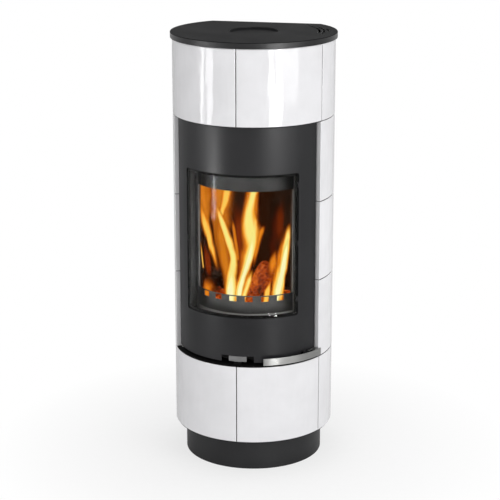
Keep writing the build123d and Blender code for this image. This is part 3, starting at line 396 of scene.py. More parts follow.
@dataclass(frozen=True)
class CoatedSteel(Finish):
    """Heat-resistant paint on sheet steel: a fine sandy skin with faint clouds.

    Args:
        tone: The paint's mean colour.
        gloss: Mean roughness.
        sheen: Specular level.
        soot: Share of dark smoke stain in patches.
    """

    tone: Colour
    gloss: float
    sheen: float
    soot: float = 0.0

    def dress(self, skin: Skin) -> None:
        """Sets the material's nodes.

        Args:
            skin: The nodes.
        """
        clouds = skin.grain(5.0, 4.0, warp=0.4)
        pores = skin.grain(1400.0, 2.0)
        colour = skin.tint(clouds, (0.3, shaded(self.tone, 0.82)), (0.7, shaded(self.tone, 1.16)))
        if self.soot:
            stain = skin.level(skin.grain(9.0, 5.0, warp=1.2), self.soot, 0.0, 0.42, 0.6)
            sooty = {"Factor": stain, "A": colour, "B": SOOT}
            colour = skin.node("Mix", sooty, data_type="RGBA").outputs["Result"]
        gloss = skin.level(clouds, self.gloss - 0.04, self.gloss + 0.05, *MIDST)
        skin.coat(colour, gloss, skin.relief(pores, 0.00006, skin.relief(clouds, 0.00025)))
        skin.put("Specular IOR Level", self.sheen)


@dataclass(frozen=True)
class Glaze(Finish):
    """White glaze on a fired tile: glossy, slightly wavy, with thin and thick places."""

    thick: Colour = (0.792, 0.788, 0.806)
    thin: Colour = (0.748, 0.744, 0.760)

    def dress(self, skin: Skin) -> None:
        """Sets the material's nodes.

        Args:
            skin: The nodes.
        """
        pools = skin.grain(11.0, 3.0, warp=0.3)
        waves = skin.grain(1.0, 1.0, skin.stretched((30.0, 30.0, 9.0)))
        pinholes = skin.level(skin.cells(520.0), 0.0, 1.0, 0.0, 0.09)
        colour = skin.tint(pools, (0.28, self.thin), (0.62, self.thick))
        gloss = skin.level(skin.grain(30.0, 4.0), 0.07, 0.13, *MIDST)
        skin.coat(colour, gloss, skin.relief(pinholes, 0.00002, skin.relief(waves, 0.0016)))
        skin.put("IOR", 1.5)


@dataclass(frozen=True)
class BrushedSteel(Finish):
    """Stainless steel brushed level, so that its fine lines run round the stove.

    Args:
        tone: The metal's mean colour.
        gloss: Mean roughness.
        drawn: How far the brushing draws out a highlight upwards.
    """

    tone: Colour
    gloss: float
    drawn: float = 0.0

    def dress(self, skin: Skin) -> None:
        """Sets the material's nodes.

        Args:
            skin: The nodes.
        """
        lines = skin.grain(1.0, 4.0, skin.stretched((14.0, 14.0, 2600.0)))
        wear = skin.grain(24.0, 3.0)
        colour = skin.tint(lines, (0.25, shaded(self.tone, 0.86)), (0.75, shaded(self.tone, 1.08)))
        uneven = skin.sum("MULTIPLY", lines, skin.level(wear, 0.8, 1.25, *MIDST))
        gloss = skin.level(uneven, self.gloss - 0.07, self.gloss + 0.12, 0.2, 0.8)
        skin.coat(colour, gloss, skin.relief(lines, 0.00002))
        skin.put("Metallic", 1.0)
        round_axis = skin.node("Tangent", direction_type="RADIAL", axis="Z")
        skin.put("Tangent", round_axis.outputs["Tangent"])
        skin.put("Anisotropic", self.drawn)
        skin.put("Anisotropic Rotation", 0.25)


@dataclass(frozen=True)
class ZincSteel(Finish):
    """Galvanised sheet with its flaky spangle, from dark to light flakes."""

    dark: Colour = (0.24, 0.245, 0.25)
    light: Colour = (0.33, 0.335, 0.34)

    def dress(self, skin: Skin) -> None:
        """Sets the material's nodes.

        Args:
            skin: The nodes.
        """
        flakes = skin.part(skin.cells(60.0, "Color"), "X")
        colour = skin.tint(flakes, (0.0, self.dark), (1.0, self.light))
        skin.coat(colour, skin.level(flakes, 0.34, 0.55), skin.relief(skin.grain(700.0), 0.00003))
        skin.put("Metallic", 1.0)


@dataclass(frozen=True)
class CastIron(Finish):
    """Raw casting, sandy and faintly rusty from the fire."""

    bare: Colour = (0.035, 0.033, 0.032)
    rusty: Colour = (0.10, 0.062, 0.042)

    def dress(self, skin: Skin) -> None:
        """Sets the material's nodes.

        Args:
            skin: The nodes.
        """
        sand = skin.grain(420.0, 4.0)
        rust = skin.grain(26.0, 5.0, warp=0.8)
        colour = skin.tint(rust, (0.35, self.bare), (0.72, self.rusty))
        skin.coat(colour, skin.level(rust, 0.6, 0.82, *MIDST), skin.relief(sand, 0.0004))


@dataclass(frozen=True)
class FireBrick(Finish):
    """Pressed vermiculite, flecked with mica and smoked dark in clouds."""

    clean: Colour = (0.05, 0.026, 0.014)
    smoked: Colour = (0.006, 0.004, 0.003)

    def dress(self, skin: Skin) -> None:
        """Sets the material's nodes.

        Args:
            skin: The nodes.
        """
        smoke = skin.grain(7.0, 5.0, warp=0.9)
        flecks = skin.part(skin.cells(330.0, "Color"), "Y")
        shade = skin.sum("ADD", smoke, skin.level(flecks, -0.06, 0.10))
        colour = skin.tint(shade, (0.38, self.smoked), (0.72, self.clean))
        skin.coat(colour, skin.level(flecks, 0.74, 0.95), skin.relief(flecks, 0.0006))


@dataclass(frozen=True)
class RopeWeave(Finish):
    """Knitted glass-fibre rope and felt, seen as small crossed loops.

    Args:
        tone: Colour of the yarn.
        stitch: Loops per metre.
        fuzz: How much of the yarn's fuzz catches light.
        shine: Strength of the gloss.
    """

    tone: Colour
    stitch: float = 260.0
    fuzz: float = 0.2
    shine: float = 0.5

    def dress(self, skin: Skin) -> None:
        """Sets the material's nodes.

        Args:
            skin: The nodes.
        """
        warp = skin.cells(self.stitch, "Distance", skin.stretched((1.0, 1.0, 0.6), (0.0, 45.0, 20.0)))
        hairs = skin.grain(900.0, 3.0)
        colour = skin.tint(warp, (0.0, shaded(self.tone, 1.5)), (0.7, shaded(self.tone, 0.35)))
        woven = skin.relief(warp, -0.0012, skin.relief(hairs, 0.0003))
        skin.coat(colour, skin.level(hairs, 0.8, 1.0), woven)
        skin.put("Sheen Weight", self.fuzz)
        skin.put("Specular IOR Level", self.shine)


@dataclass(frozen=True)
class Pane(Finish):
    """Curved ceramic glass with a faint film. A low index stands for its weak mirror image."""

    filmed: Colour = (0.90, 0.90, 0.89)
    clear: Colour = (0.98, 0.98, 0.975)
    bend: float = 1.09

    def dress(self, skin: Skin) -> None:
        """Sets the material's nodes.

        Args:
            skin: The nodes.
        """
        film = skin.grain(6.0, 5.0, warp=0.6)
        colour = skin.tint(film, (0.3, self.filmed), (0.7, self.clear))
        skin.coat(colour, skin.level(film, 0.0, 0.03, 0.45, 0.8), skin.relief(skin.grain(4.0, 1.0), 0.0004))
        skin.put("Transmission Weight", 1.0)
        skin.put("IOR", self.bend)


# the log's colours between its scales and on them, and those of its glow from cold to hot
CHAR = (0.010, 0.006, 0.004)
ASH = (0.035, 0.024, 0.017)
EMBER_STOPS = (
    (0.0, (0.0, 0.0, 0.0)),
    (0.30, (0.05, 0.004, 0.0)),
    (0.60, (0.42, 0.045, 0.002)),
    (1.0, (0.95, 0.20, 0.01)),
)


@dataclass(frozen=True)
class CharredWood(Finish):
    """Burning log: cracked charcoal scales with embers in the cracks.

    Args:
        heat: Strength of the glow.
        reach: How much of the surface glows, from 0 to 1.
    """

    heat: float
    reach: float

    def dress(self, skin: Skin) -> None:
        """Sets the material's nodes.

        Args:
            skin: The nodes.
        """
        scales = skin.cells(105.0, "Distance", skin.stretched((1.0, 1.0, 1.7), (0.0, 35.0, 0.0)))
        glow = skin.grain(16.0, 4.0, warp=0.8)
        specks = skin.grain(130.0, 3.0)
        fire = skin.sum("ADD", glow, skin.sum("MULTIPLY", specks, 0.35))
        cracked = skin.sum("ADD", fire, skin.level(scales, -0.06, 0.10, 0.2, 0.7))
        low = 1.12 - 0.75 * self.reach
        heat = skin.level(cracked, 0.0, 1.0, low - 0.30, low + 0.34)
        ash = skin.grain(150.0, 4.0)
        cracks = skin.relief(scales, -0.004, skin.relief(ash, 0.001))
        skin.coat(skin.tint(ash, (0.4, CHAR), (0.75, ASH)), skin.level(ash, 0.75, 0.95), cracks)
        skin.put("Specular IOR Level", 0.1)
        skin.put("Emission Color", skin.tint(heat, *EMBER_STOPS))
        skin.put("Emission Strength", self.heat)


@dataclass(frozen=True)
class Flame(Finish):
    """A tongue of flame, bright along its middle and clear at its edges, by the piece's own UV map.

    Args:
        core: Colour along the middle.
        flank: Colour beside the middle.
        rim: Colour towards the edges.
        body: How far the flame hides what is behind it.
        foot: Share of the length over which the foot fades.
        tip: Share of the length over which the tip fades.
    """

    core: Colour
    flank: Colour
    rim: Colour
    body: float
    foot: float
    tip: float

    def dress(self, skin: Skin) -> None:
        """Sets the material's nodes.

        Args:
            skin: The nodes.
        """
        across = skin.part(skin.flat, "X")
        along = skin.part(skin.flat, "Y")
        flicker = skin.grain(20.0, 2.5, skin.stretched((1.0, 1.0, 0.30)), warp=1.1)
        middle = skin.sum("ABSOLUTE", skin.sum("SUBTRACT", across, 0.5))
        ragged = skin.sum("ADD", middle, skin.level(flicker, -0.09, 0.10, *MIDST))
        spread = skin.level(ragged, 1.0, 0.0, 0.03, 0.38)
        rise = skin.level(along, 0.0, 1.0, 0.0, self.foot)
        fall = skin.level(along, 1.0, 0.0, 1.0 - self.tip, 1.0)
        shape = skin.sum("MULTIPLY", spread, skin.sum("MULTIPLY", rise, fall))
        skin.put("Base Color", (0.0, 0.0, 0.0))
        skin.put("Specular IOR Level", 0.0)
        skin.put("Roughness", 1.0)
        light = skin.tint(shape, (0.10, self.rim), (0.45, self.flank), (0.80, self.core))
        skin.put("Emission Color", light)
        skin.put("Emission Strength", 1.0)
        skin.put("Alpha", skin.level(shape, 0.0, self.body, 0.02, 0.55))


def paint(name: str, tone: Colour, gloss: float, sheen: float, soot: float = 0.0) -> CoatedSteel:
    """Gives a paint that stands for the record's black painted steel."""
    return CoatedSteel(name, "painted_steel_black", tone, gloss, sheen, soot)


BLACK = paint("black coated steel", (0.022, 0.022, 0.024), 0.5, 0.15)
# near-black for faces that lie in deep shade in gaps and joints: painted shadow
SHADOW_BLACK = paint("painted shadow black", (0.005, 0.005, 0.005), 0.6, 0.05)
DOOR_GREY = paint("anthracite coat of the door", (0.0115, 0.0115, 0.0128), 0.40, 0.26)
PLINTH_GREY = paint("anthracite coat of the plinth", (0.0165, 0.0165, 0.0176), 0.40, 0.28)
TOP_GREY = paint("anthracite coat of the top", (0.012, 0.012, 0.0127), 0.5, 0.01)
# a lighter copy of the top's paint with more sheen for the upright rim: painted highlights
RIM_HIGHLIGHT_GREY = paint("anthracite with painted highlights on the rim", (0.014, 0.014, 0.0148), 0.34, 0.28)
FIRESIDE_GREY = paint("fireside grey paint", (0.014, 0.014, 0.014), 0.4, 0.28, 0.3)
GUARD_GREY = paint("grey paint of the guard", (0.034, 0.034, 0.033), 0.32, 0.6, 0.2)
PAN_GREY = paint("grey paint of the door pan", (0.038, 0.038, 0.0375), 0.4, 0.3, 0.1)
SILL_GREY = paint("light grey paint of the sill", (0.22, 0.218, 0.21), 0.4, 0.5)
# a far lighter grey for the shell's jambs beside the mouth: painted light and reflection
PAINTED_LIGHT_JAMB_GREY = paint("grey with painted light on the jambs", (0.15, 0.15, 0.147), 0.4, 0.35, 0.2)
WHITE_GLAZE = Glaze("white glaze", "white_glaze")
# a darker copy of the white glaze for the tile ends beside the door: painted shade
SHADED_END_GLAZE = Glaze("glaze with painted shade on the ends", "white_glaze", (0.58, 0.577, 0.585), (0.53, 0.527, 0.535))
# bare clay in the joints, its dark colour partly painted shade of the narrow gap
BARE_CLAY_AND_SHADE = FireBrick("bare clay with painted shade in the joints", "white_glaze", (0.06, 0.055, 0.05), (0.03, 0.027, 0.025))
STAINLESS = BrushedSteel("brushed stainless", "stainless", (0.30, 0.30, 0.293), 0.30, 0.85)
TAB_STEEL = BrushedSteel("satin stainless", "stainless", (0.22, 0.22, 0.22), 0.42)
DULL_STEEL = BrushedSteel("darkened stainless", "stainless", (0.035, 0.035, 0.035), 0.5)
ZINC = ZincSteel("galvanised sheet", "zinc_steel")
IRON = CastIron("raw cast iron", "cast_iron")
BRICK = FireBrick("smoked vermiculite", "firebrick")
ROPE = RopeWeave("door rope", "rope", (0.13, 0.128, 0.122))
GLASS_SEAL = RopeWeave("black ladder tape", "seal_black", (0.003, 0.003, 0.003), 480.0, 0.04, 0.2)
GLASS = Pane("curved fire glass", "pane")
HOT_LOG = CharredWood("glowing log", "firebrick", 0.75, 0.60)
DARK_LOG = CharredWood("charred log", "firebrick", 0.5, 0.05)
EMBERS = CharredWood("ember bed", "firebrick", 0.8, 0.75)


# ---------------- studio
@dataclass
class Viewpoint:
    """The photograph's viewpoint, tilted down and turned in radians, fitted to the level curves."""

    place: Colour = (1.0573, -4.8638, 2.0696)
    tilt: float = 0.2772
    turn: float = 0.2164
    focal_mm: float = 117.8
    sensor_mm: float = 36.0
    reach: float = 60.0

    def build(self) -> None:
        """Makes the camera and gives it to the scene."""
        data = bpy.data.cameras.new("viewpoint")
        data.lens = self.focal_mm
        data.sensor_width = self.sensor_mm
        data.sensor_fit = "HORIZONTAL"
        data.clip_end = self.reach
        camera = stand("viewpoint", data)
        camera.location = self.place
        camera.rotation_euler = (math.pi / 2 - self.tilt, 0.0, self.turn)
        bpy.context.scene.camera = camera


class Seen(Enum):
    """What a lamp lights: the colours of the pieces, and their gloss."""

    BOTH = (True, True)
    GLOSS = (False, True)
    COLOUR = (True, False)


@dataclass
class SoftLamp:
    """A rectangular soft lamp around the stove, in watts, that looks at the axis at the height aim."""

    name: str
    azimuth: float
    distance: float
    height: float
    size: tuple[float, float]
    power: float
    aim: float = 0.8
    seen: Seen = Seen.BOTH

    def build(self) -> None:
        """Makes the lamp."""
        data = bpy.data.lights.new(self.name, "AREA")
        data.shape = "RECTANGLE"
        data.size, data.size_y = self.size
        data.energy = self.power
        lamp = stand(self.name, data)
        lamp.location = polar(self.distance, self.azimuth, self.height)
        look = Vector((0.0, 0.0, self.aim)) - lamp.location
        lamp.rotation_euler = look.to_track_quat("-Z", "Y").to_euler()
        lamp.visible_camera = False
        lamp.visible_diffuse, lamp.visible_glossy = self.seen.value


@dataclass
class Studio:
    """White room, pale floor and soft lamps.

    Args:
        fill: Strength of the room's light on the stove.
        floor_radius: Radius of the floor.
        floor_drop: How far the floor lies under the stove, so that the two don't touch.
        shadow_end: Distances from the axis where the floor starts to fade, and where it has faded.
        fade: Share of the floor's look that is plain white, near the stove and far from it.
    """

    fill: float = 0.53
    floor_radius: float = 9.0
    floor_drop: float = 0.001
    shadow_end: tuple[float, float] = (0.25, 0.85)
    fade: tuple[float, float] = (0.70, 1.0)

    def build(self) -> None:
        """Makes the room, the floor, the lamps and the view settings."""
        bpy.context.scene.view_settings.view_transform = "Standard"
        self.light_room()
        self.lay_floor()
        for lamp in (
            SoftLamp("front right softbox", 60.0, 3.4, 1.5, (2.0, 2.0), 41.0),
            SoftLamp("front softbox", -10.0, 3.4, 0.9, (2.0, 2.0), 35.0, seen=Seen.COLOUR),
            SoftLamp("rear right softbox", 128.0, 3.4, 1.2, (2.0, 2.0), 25.0, seen=Seen.COLOUR),
            SoftLamp("left strip, outer", -59.5, 1.7, 1.15, (0.21, 0.8), 3.9, 1.15, seen=Seen.GLOSS),
            SoftLamp("left strip, inner", -48.0, 1.7, 1.15, (0.27, 0.8), 4.0, 1.15, seen=Seen.GLOSS),
            SoftLamp("right strip, inner", 35.0, 1.7, 1.15, (0.20, 0.8), 7.0, 1.15, seen=Seen.GLOSS),
            SoftLamp("right strip, outer", 45.3, 1.7, 1.15, (0.21, 0.8), 7.3, 1.15, seen=Seen.GLOSS),
            SoftLamp("window strip", -46.2, 1.7, 0.51, (0.17, 0.20), 9.0, 0.51, seen=Seen.GLOSS),
            SoftLamp("handle strip", 39.0, 1.7, 0.02, (0.34, 0.03), 2.4, 0.2, seen=Seen.GLOSS),
        ):
            lamp.build()

    def light_room(self) -> None:
        """Makes the room white to the eye and in gloss, and a softer light on the stove."""
        world = bpy.data.worlds.new("white room")
        bpy.context.scene.world = world
        sheet = NodeSheet(world)
        path = sheet.node("LightPath").outputs
        mirrored = sheet.sum("MAXIMUM", path["Is Glossy Ray"], path["Is Transmission Ray"])
        seen = sheet.sum("MAXIMUM", path["Is Camera Ray"], mirrored)
        light = {"Color": WHITE, "Strength": sheet.level(seen, self.fill, 1.0)}
        background = sheet.node("Background", light)
        sheet.node("OutputWorld", {"Surface": background.outputs["Background"]})

    def lay_floor(self) -> None:
        """Makes the pale floor, which keeps the stove's shadow and fades into the room."""
        shape = bmesh.new()
        bmesh.ops.create_circle(shape, cap_ends=True, segments=96, radius=self.floor_radius)
        data = bpy.data.meshes.new("floor")
        shape.to_mesh(data)
        shape.free()
        floor = stand("floor", data)
        data.materials.append(self.floor_material())
        floor.location.z = -self.floor_drop

    def floor_material(self) -> bpy.types.Material:
        """Makes the floor's finish.

        Returns:
            The material.
        """
        skin = Skin("pale studio floor")
        specks = skin.grain(40.0, 4.0)
        skin.put("Base Color", skin.tint(specks, (0.3, (0.83, 0.83, 0.83)), (0.7, (0.86, 0.86, 0.86))))
        skin.put("Roughness", 0.9)
        skin.put("Specular IOR Level", 0.1)
        distance = skin.node("VectorMath", {0: skin.place}, operation="LENGTH")
        share = skin.level(distance.outputs["Value"], *self.fade, *self.shadow_end)
        path = skin.node("LightPath").outputs
        seen = skin.sum("MAXIMUM", path["Is Camera Ray"], path["Is Transmission Ray"])
        white = skin.node("Emission", {"Strength": 1.0})
        light = white.outputs["Emission"]
        mix = {"Fac": skin.sum("MULTIPLY", share, seen), 1: skin.shader.outputs["BSDF"], 2: light}
        blend = skin.node("MixShader", mix)
        skin.feed(skin.output.inputs["Surface"], blend.outputs["Shader"])
        return skin.material


# ---------------- cladding
@dataclass
class Tile:
    """One curved tile.

    Args:
        node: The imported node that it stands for.
        start: Azimuth of its front end in degrees.
        end: Azimuth of its other end, past the back plane where the tile runs to the back.
        cut_back: Whether the back plane cuts it.
    """

    node: str
    start: float
    end: float
    cut_back: bool


@dataclass
class Cladding:
    """The glazed tiles: two rings of four and three courses on each side of the door.

    Args:
        face: Radius of the glazed face.
        thickness: Thickness of a tile.
        back_plane: How far the back plane lies behind the axis.
        half_joint: Half the joint between two tiles of a ring.
        seam: Azimuth of the joint between a ring's front and side tiles.
        doorway: Azimuth where the side tiles end beside the door.
        rounding: Width of the rounded glaze at the edges.
        step: Degrees that one face spans.
    """

    PAST_BACK = 150.0       # azimuth that side tiles are spun to, before the back plane cuts them
    GLAZE_SEGMENTS = 4
    GLAZE_ANGLE = 0.6       # edges bent more than this get rounded glaze
    FRONT_JOINT = 0.05      # half width of the space where ends belong to the front joint
    SLANT = 0.2             # the most that an end's normal leans outwards or up
    FLAT = 0.9              # the least that a bed's normal points up or down

    face: float = 0.250
    thickness: float = 0.022
    back_plane: float = 0.180
    half_joint: float = 0.001
    seam: float = 67.3
    doorway: float = 66.3
    rounding: float = 0.0028
    step: float = 1.6

    def tiles(self) -> list[Tile]:
        """Lists the tiles.

        Returns:
            Every tile of the stove.
        """
        gap = math.degrees(self.half_joint / self.face)
        found = []
        for side, sign in (("left", -1), ("right", 1)):
            for ring in ("lower", "upper"):
                front = (sign * gap, sign * (self.seam - gap))
                rear = (sign * (self.seam + gap), sign * self.PAST_BACK)
                found.append(Tile(f"tile_{ring}_front_{side}", *front, False))
                found.append(Tile(f"tile_{ring}_side_{side}", *rear, True))
            for course in (1, 2, 3):
                ends = (sign * self.doorway, sign * self.PAST_BACK)
                found.append(Tile(f"tile_side_{side}_{course}", *ends, True))
        return found

    def build(self) -> None:
        """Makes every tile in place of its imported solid."""
        for tile in self.tiles():
            piece = finish_piece(self.shape(tile), tile.node + "_glazed", WHITE_GLAZE)
            # joint faces get bare clay, darkened further as painted shade
            recoat(piece, BARE_CLAY_AND_SHADE, self.is_joint)
            # the ends beside the door get the darker glaze, as painted shade
            recoat(piece, SHADED_END_GLAZE, self.is_doorway_end)
            lead_with_broad_faces(piece)
            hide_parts(tile.node)

    def shape(self, tile: Tile) -> Mesh:
        """Shapes one tile: a spun block, cut at the back plane, with rounded glaze at its edges.

        Args:
            tile: The tile.

        Returns:
            Its mesh.
        """
        low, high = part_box(tile.node)
        back = self.face - self.thickness
        mesh = bmesh.new()
        corners = [(self.face, low.z), (self.face, high.z), (back, high.z), (back, low.z)]
        profile = [mesh.verts.new(polar(radius, tile.start, z)) for radius, z in corners]
        edges = [mesh.edges.new((profile[i], profile[(i + 1) % 4])) for i in range(4)]
        sweep = tile.end - tile.start
        steps = max(8, round(abs(sweep) / self.step))
        turn = math.radians(sweep)
        bmesh.ops.spin(mesh, geom=profile + edges, cent=(0, 0, 0), axis=(0, 0, 1), angle=turn, steps=steps)
        if tile.cut_back:
            bmesh.ops.bisect_plane(
                mesh, geom=everything(mesh), plane_co=(0, self.back_plane, 0), plane_no=(0, 1, 0),
                clear_outer=True,
            )
        bmesh.ops.edgeloop_fill(mesh, edges=[edge for edge in mesh.edges if edge.is_boundary])
        bmesh.ops.remove_doubles(mesh, verts=mesh.verts[:], dist=WELD)
        bmesh.ops.recalc_face_normals(mesh, faces=mesh.faces[:])
        rim = [
            edge for edge in mesh.edges if edge.calc_face_angle(0.0) > self.GLAZE_ANGLE
            and all(self.is_outside(vertex.co) for vertex in edge.verts)
        ]
        bmesh.ops.bevel(
            mesh, geom=rim, offset=self.rounding, segments=self.GLAZE_SEGMENTS, profile=0.5,
            affect="EDGES", material=-1, clamp_overlap=True,
        )
        return mesh

    def is_end(self, face: Face) -> bool:
        """Tells whether a face belongs to an upright end of its tile."""
        return abs(outward(face)) < self.SLANT and abs(face.normal.z) < self.SLANT

    def is_joint(self, face: Face) -> bool:
        """Tells whether a face lies in a bed joint or in the front joint, where the clay is bare and
        darkened further as painted shade.
        """
        in_front = self.is_end(face) and abs(face.center.x) < self.FRONT_JOINT
        return in_front or abs(face.normal.z) > self.FLAT

    def is_doorway_end(self, face: Face) -> bool:
        """Tells whether a face belongs to an end on the door's side, whose darker glaze is painted shade.
        """
        return self.is_end(face) and face.center.y < 0.0 and not self.is_joint(face)

    def is_outside(self, point: Vector) -> bool:
        """Tells whether a point lies on the tiles' face."""
        return math.hypot(point.x, point.y) > self.face - TOLERANCE


# ---------------- steelwork
@dataclass
class Rounded:
    """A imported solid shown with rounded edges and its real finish.

    Args:
        node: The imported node.
        finish: Its finish.
        width: Width of the rounded edges.
        segments: Faces across a rounded edge.
        parting: Height at which its faces are parted for a second finish, or 0.
    """

    node: str
    finish: Finish
    width: float = 0.0006
    segments: int = 2
    parting: float = 0.0

    def build(self) -> Piece:
        """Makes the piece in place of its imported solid.

        Returns:
            The piece.
        """
        source = FRAME["nodes"][self.node]
        mesh = bmesh.new()
        mesh.from_mesh(source.data)
        bmesh.ops.remove_doubles(mesh, verts=mesh.verts[:], dist=WELD)
        bmesh.ops.dissolve_limit(
            mesh, angle_limit=FLAT_ANGLE, verts=mesh.verts[:], edges=mesh.edges[:],
            use_dissolve_boundaries=False,
        )
        if self.parting:
            middle = (0, 0, self.parting)
            bmesh.ops.bisect_plane(mesh, geom=everything(mesh), plane_co=middle, plane_no=(0, 0, 1))
        body = Body(source["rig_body"])
        piece = finish_piece(mesh, self.node + "_finished", self.finish, body)
        round_edges(piece, self.width, self.segments)
        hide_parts(self.node)
        return piece


@dataclass
class Steelwork:
    """Every rigid piece other than the tiles, with its finish and the size of its edges.

    Args:
        outside: Rounded pieces that show from outside.
        fireside: Rounded pieces round the fire.
        dressed: Finishes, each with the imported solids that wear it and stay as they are.
        tab_foot: Height where the air tab's bright steel starts.
        joint: Width of the joint round the pane.
        mouth: Azimuth of the jambs beside the stove's mouth.
    """

    FORWARDS = -0.1         # a face whose normal's y is lower looks to the door
    OUTWARDS = 0.6          # a face that looks away from the axis by more is an outer one
    SIDEWAYS = 0.3          # by less, an edge
    UPRIGHT = 0.5           # a face whose normal points up or down by less is an upright one

    outside: tuple[Rounded, ...] = (
        Rounded("top_cover", TOP_GREY, 0.0010, 3),
        Rounded("flue_collar", BLACK),
        Rounded("plinth_shell", PLINTH_GREY, 0.0005),
        # the deck in the shaded gap under the door gets painted shadow black
        Rounded("mid_deck", SHADOW_BLACK),
        Rounded("back_panel", BLACK, 0.0004),
        Rounded("back_screws", ZINC, 0.0003),
        Rounded("door_glass", GLASS, 0.0008, 3),
        Rounded("handle_strip", STAINLESS, 0.0008, 3),
        Rounded("latch_spindle", STAINLESS, 0.0003),
        Rounded("smoke_tee", BLACK, 0.0004),
        Rounded("air_duct", ZINC, 0.0004),
    )
    fireside: tuple[Rounded, ...] = (
        Rounded("sill", SILL_GREY, 0.0008, 3),
        Rounded("ember_guard", GUARD_GREY, 0.0005),
        Rounded("wall_bricks", BRICK, 0.0020),
        Rounded("floor_bricks", BRICK, 0.0016),
        Rounded("baffle", BRICK, 0.0016),
        Rounded("door_liner", BRICK, 0.0012),
        Rounded("grate", IRON, 0.0010),
    )
    dressed: tuple[tuple[Finish, str], ...] = (
        (BLACK, "lower_deck top_deck stove_top deflector latch_bracket hinge_straps"),
        (ZINC, "base_plate columns lower_casing side_casings upper_casing tile_brackets"),
        (ZINC, "ash_shelf stove_floor ash_pan levelling_screws"),
        (STAINLESS, "air_pivot latch_catch hinge_bushes"),
        (DULL_STEEL, "glass_clips"),
        (GLASS_SEAL, "glass_seal"),
        (ROPE, "door_seal tile_spacers"),
    )
    tab_foot: float = 0.3608
    joint: float = 0.008
    mouth: float = 38.0

    def build(self) -> None:
        """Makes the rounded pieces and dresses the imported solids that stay."""
        for piece in self.outside + self.fireside:
            piece.build()
        self.build_air_valve()
        self.build_rim()
        self.build_door_pan()
        self.build_shell()
        self.build_door_panel()
        for finish, nodes in self.dressed:
            for node in nodes.split():
                data = FRAME["nodes"][node].data
                data.materials.clear()
                data.materials.append(finish.material())
                smooth_faces(data)
                data.set_sharp_from_angle(angle=CREASE_ANGLE)
                LOG.info("packed %s: %s", node, finish.name)

    def build_air_valve(self) -> None:
        """Makes the air valve with a bright tab, and painted shadow black on its disc and lever below,
        which lie in shade under the door.
        """
        valve = Rounded("air_valve", TAB_STEEL, 0.0005, 2, self.tab_foot).build()
        recoat(valve, SHADOW_BLACK, lambda face: face.center.z < self.tab_foot)

    def build_door_pan(self) -> None:
        """Makes the door pan, with painted shadow black where it shows in the shaded joint round the pane.
        """
        pan = Rounded("door_pan", PAN_GREY, 0.0004).build()
        recoat(pan, SHADOW_BLACK, lambda face: outward(face) > self.OUTWARDS)

    def build_shell(self) -> None:
        """Makes the stove's shell, with painted light and reflection on the jambs beside its mouth."""
        low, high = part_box("door_glass")

        def is_jamb(face: Face) -> bool:
            """Tells whether a face looks to the door beside the mouth, as high as the pane."""
            beside = abs(math.degrees(math.atan2(face.center.x, -face.center.y))) > self.mouth
            return beside and low.z < face.center.z < high.z and face.normal.y < self.FORWARDS

        # the jambs get the lighter grey as painted light and reflection
        recoat(Rounded("stove_shell", FIRESIDE_GREY).build(), PAINTED_LIGHT_JAMB_GREY, is_jamb)

    def build_door_panel(self) -> None:
        """Makes the door panel, with painted shadow black on the edges of its window, in the shaded joint
        round the pane.
        """
        low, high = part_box("door_glass")

        def is_window_edge(face: Face) -> bool:
            """Tells whether a face belongs to the edge of the window."""
            beside = all(low[i] - self.joint < face.center[i] < high[i] + self.joint for i in (0, 2))
            return beside and abs(outward(face)) < self.SIDEWAYS

        recoat(Rounded("door_panel", DOOR_GREY, 0.0007, 3).build(), SHADOW_BLACK, is_window_edge)

    def build_rim(self) -> None:
        """Makes the top plate, its upright rim in a lighter, glossier copy of the top's paint as painted
        highlights.
        """
        plate = Rounded("top_plate", TOP_GREY, 0.0012, 3).build()
        recoat(plate, RIM_HIGHLIGHT_GREY, lambda face: abs(face.normal.z) < self.UPRIGHT)


# ---------------- fire
class Heat(Enum):
    """How hot a flame looks: the colours of its middle, flanks and rim."""

    WHITE = ((1.0, 0.96, 0.52), (1.0, 0.90, 0.34), (1.0, 0.84, 0.24))
    PALE = ((1.0, 0.85, 0.24), (1.0, 0.42, 0.035), (0.55, 0.09, 0.003))
    YELLOW = ((1.0, 0.62, 0.10), (0.95, 0.30, 0.018), (0.45, 0.07, 0.003))
    ORANGE = ((0.85, 0.26, 0.012), (0.52, 0.11, 0.005), (0.17, 0.022, 0.001))
    SHEET = ((0.66, 0.20, 0.010), (0.46, 0.11, 0.005), (0.15, 0.022, 0.001))
    SMOKE = ((0.022, 0.005, 0.001), (0.012, 0.003, 0.001), (0.006, 0.0015, 0.0005))
    GLOW = ((0.25, 0.030, 0.002), (0.14, 0.016, 0.001), (0.04, 0.004, 0.0003))
    EMBER_RED = ((0.060, 0.007, 0.001), (0.035, 0.004, 0.0005), (0.01, 0.002, 0.0005))


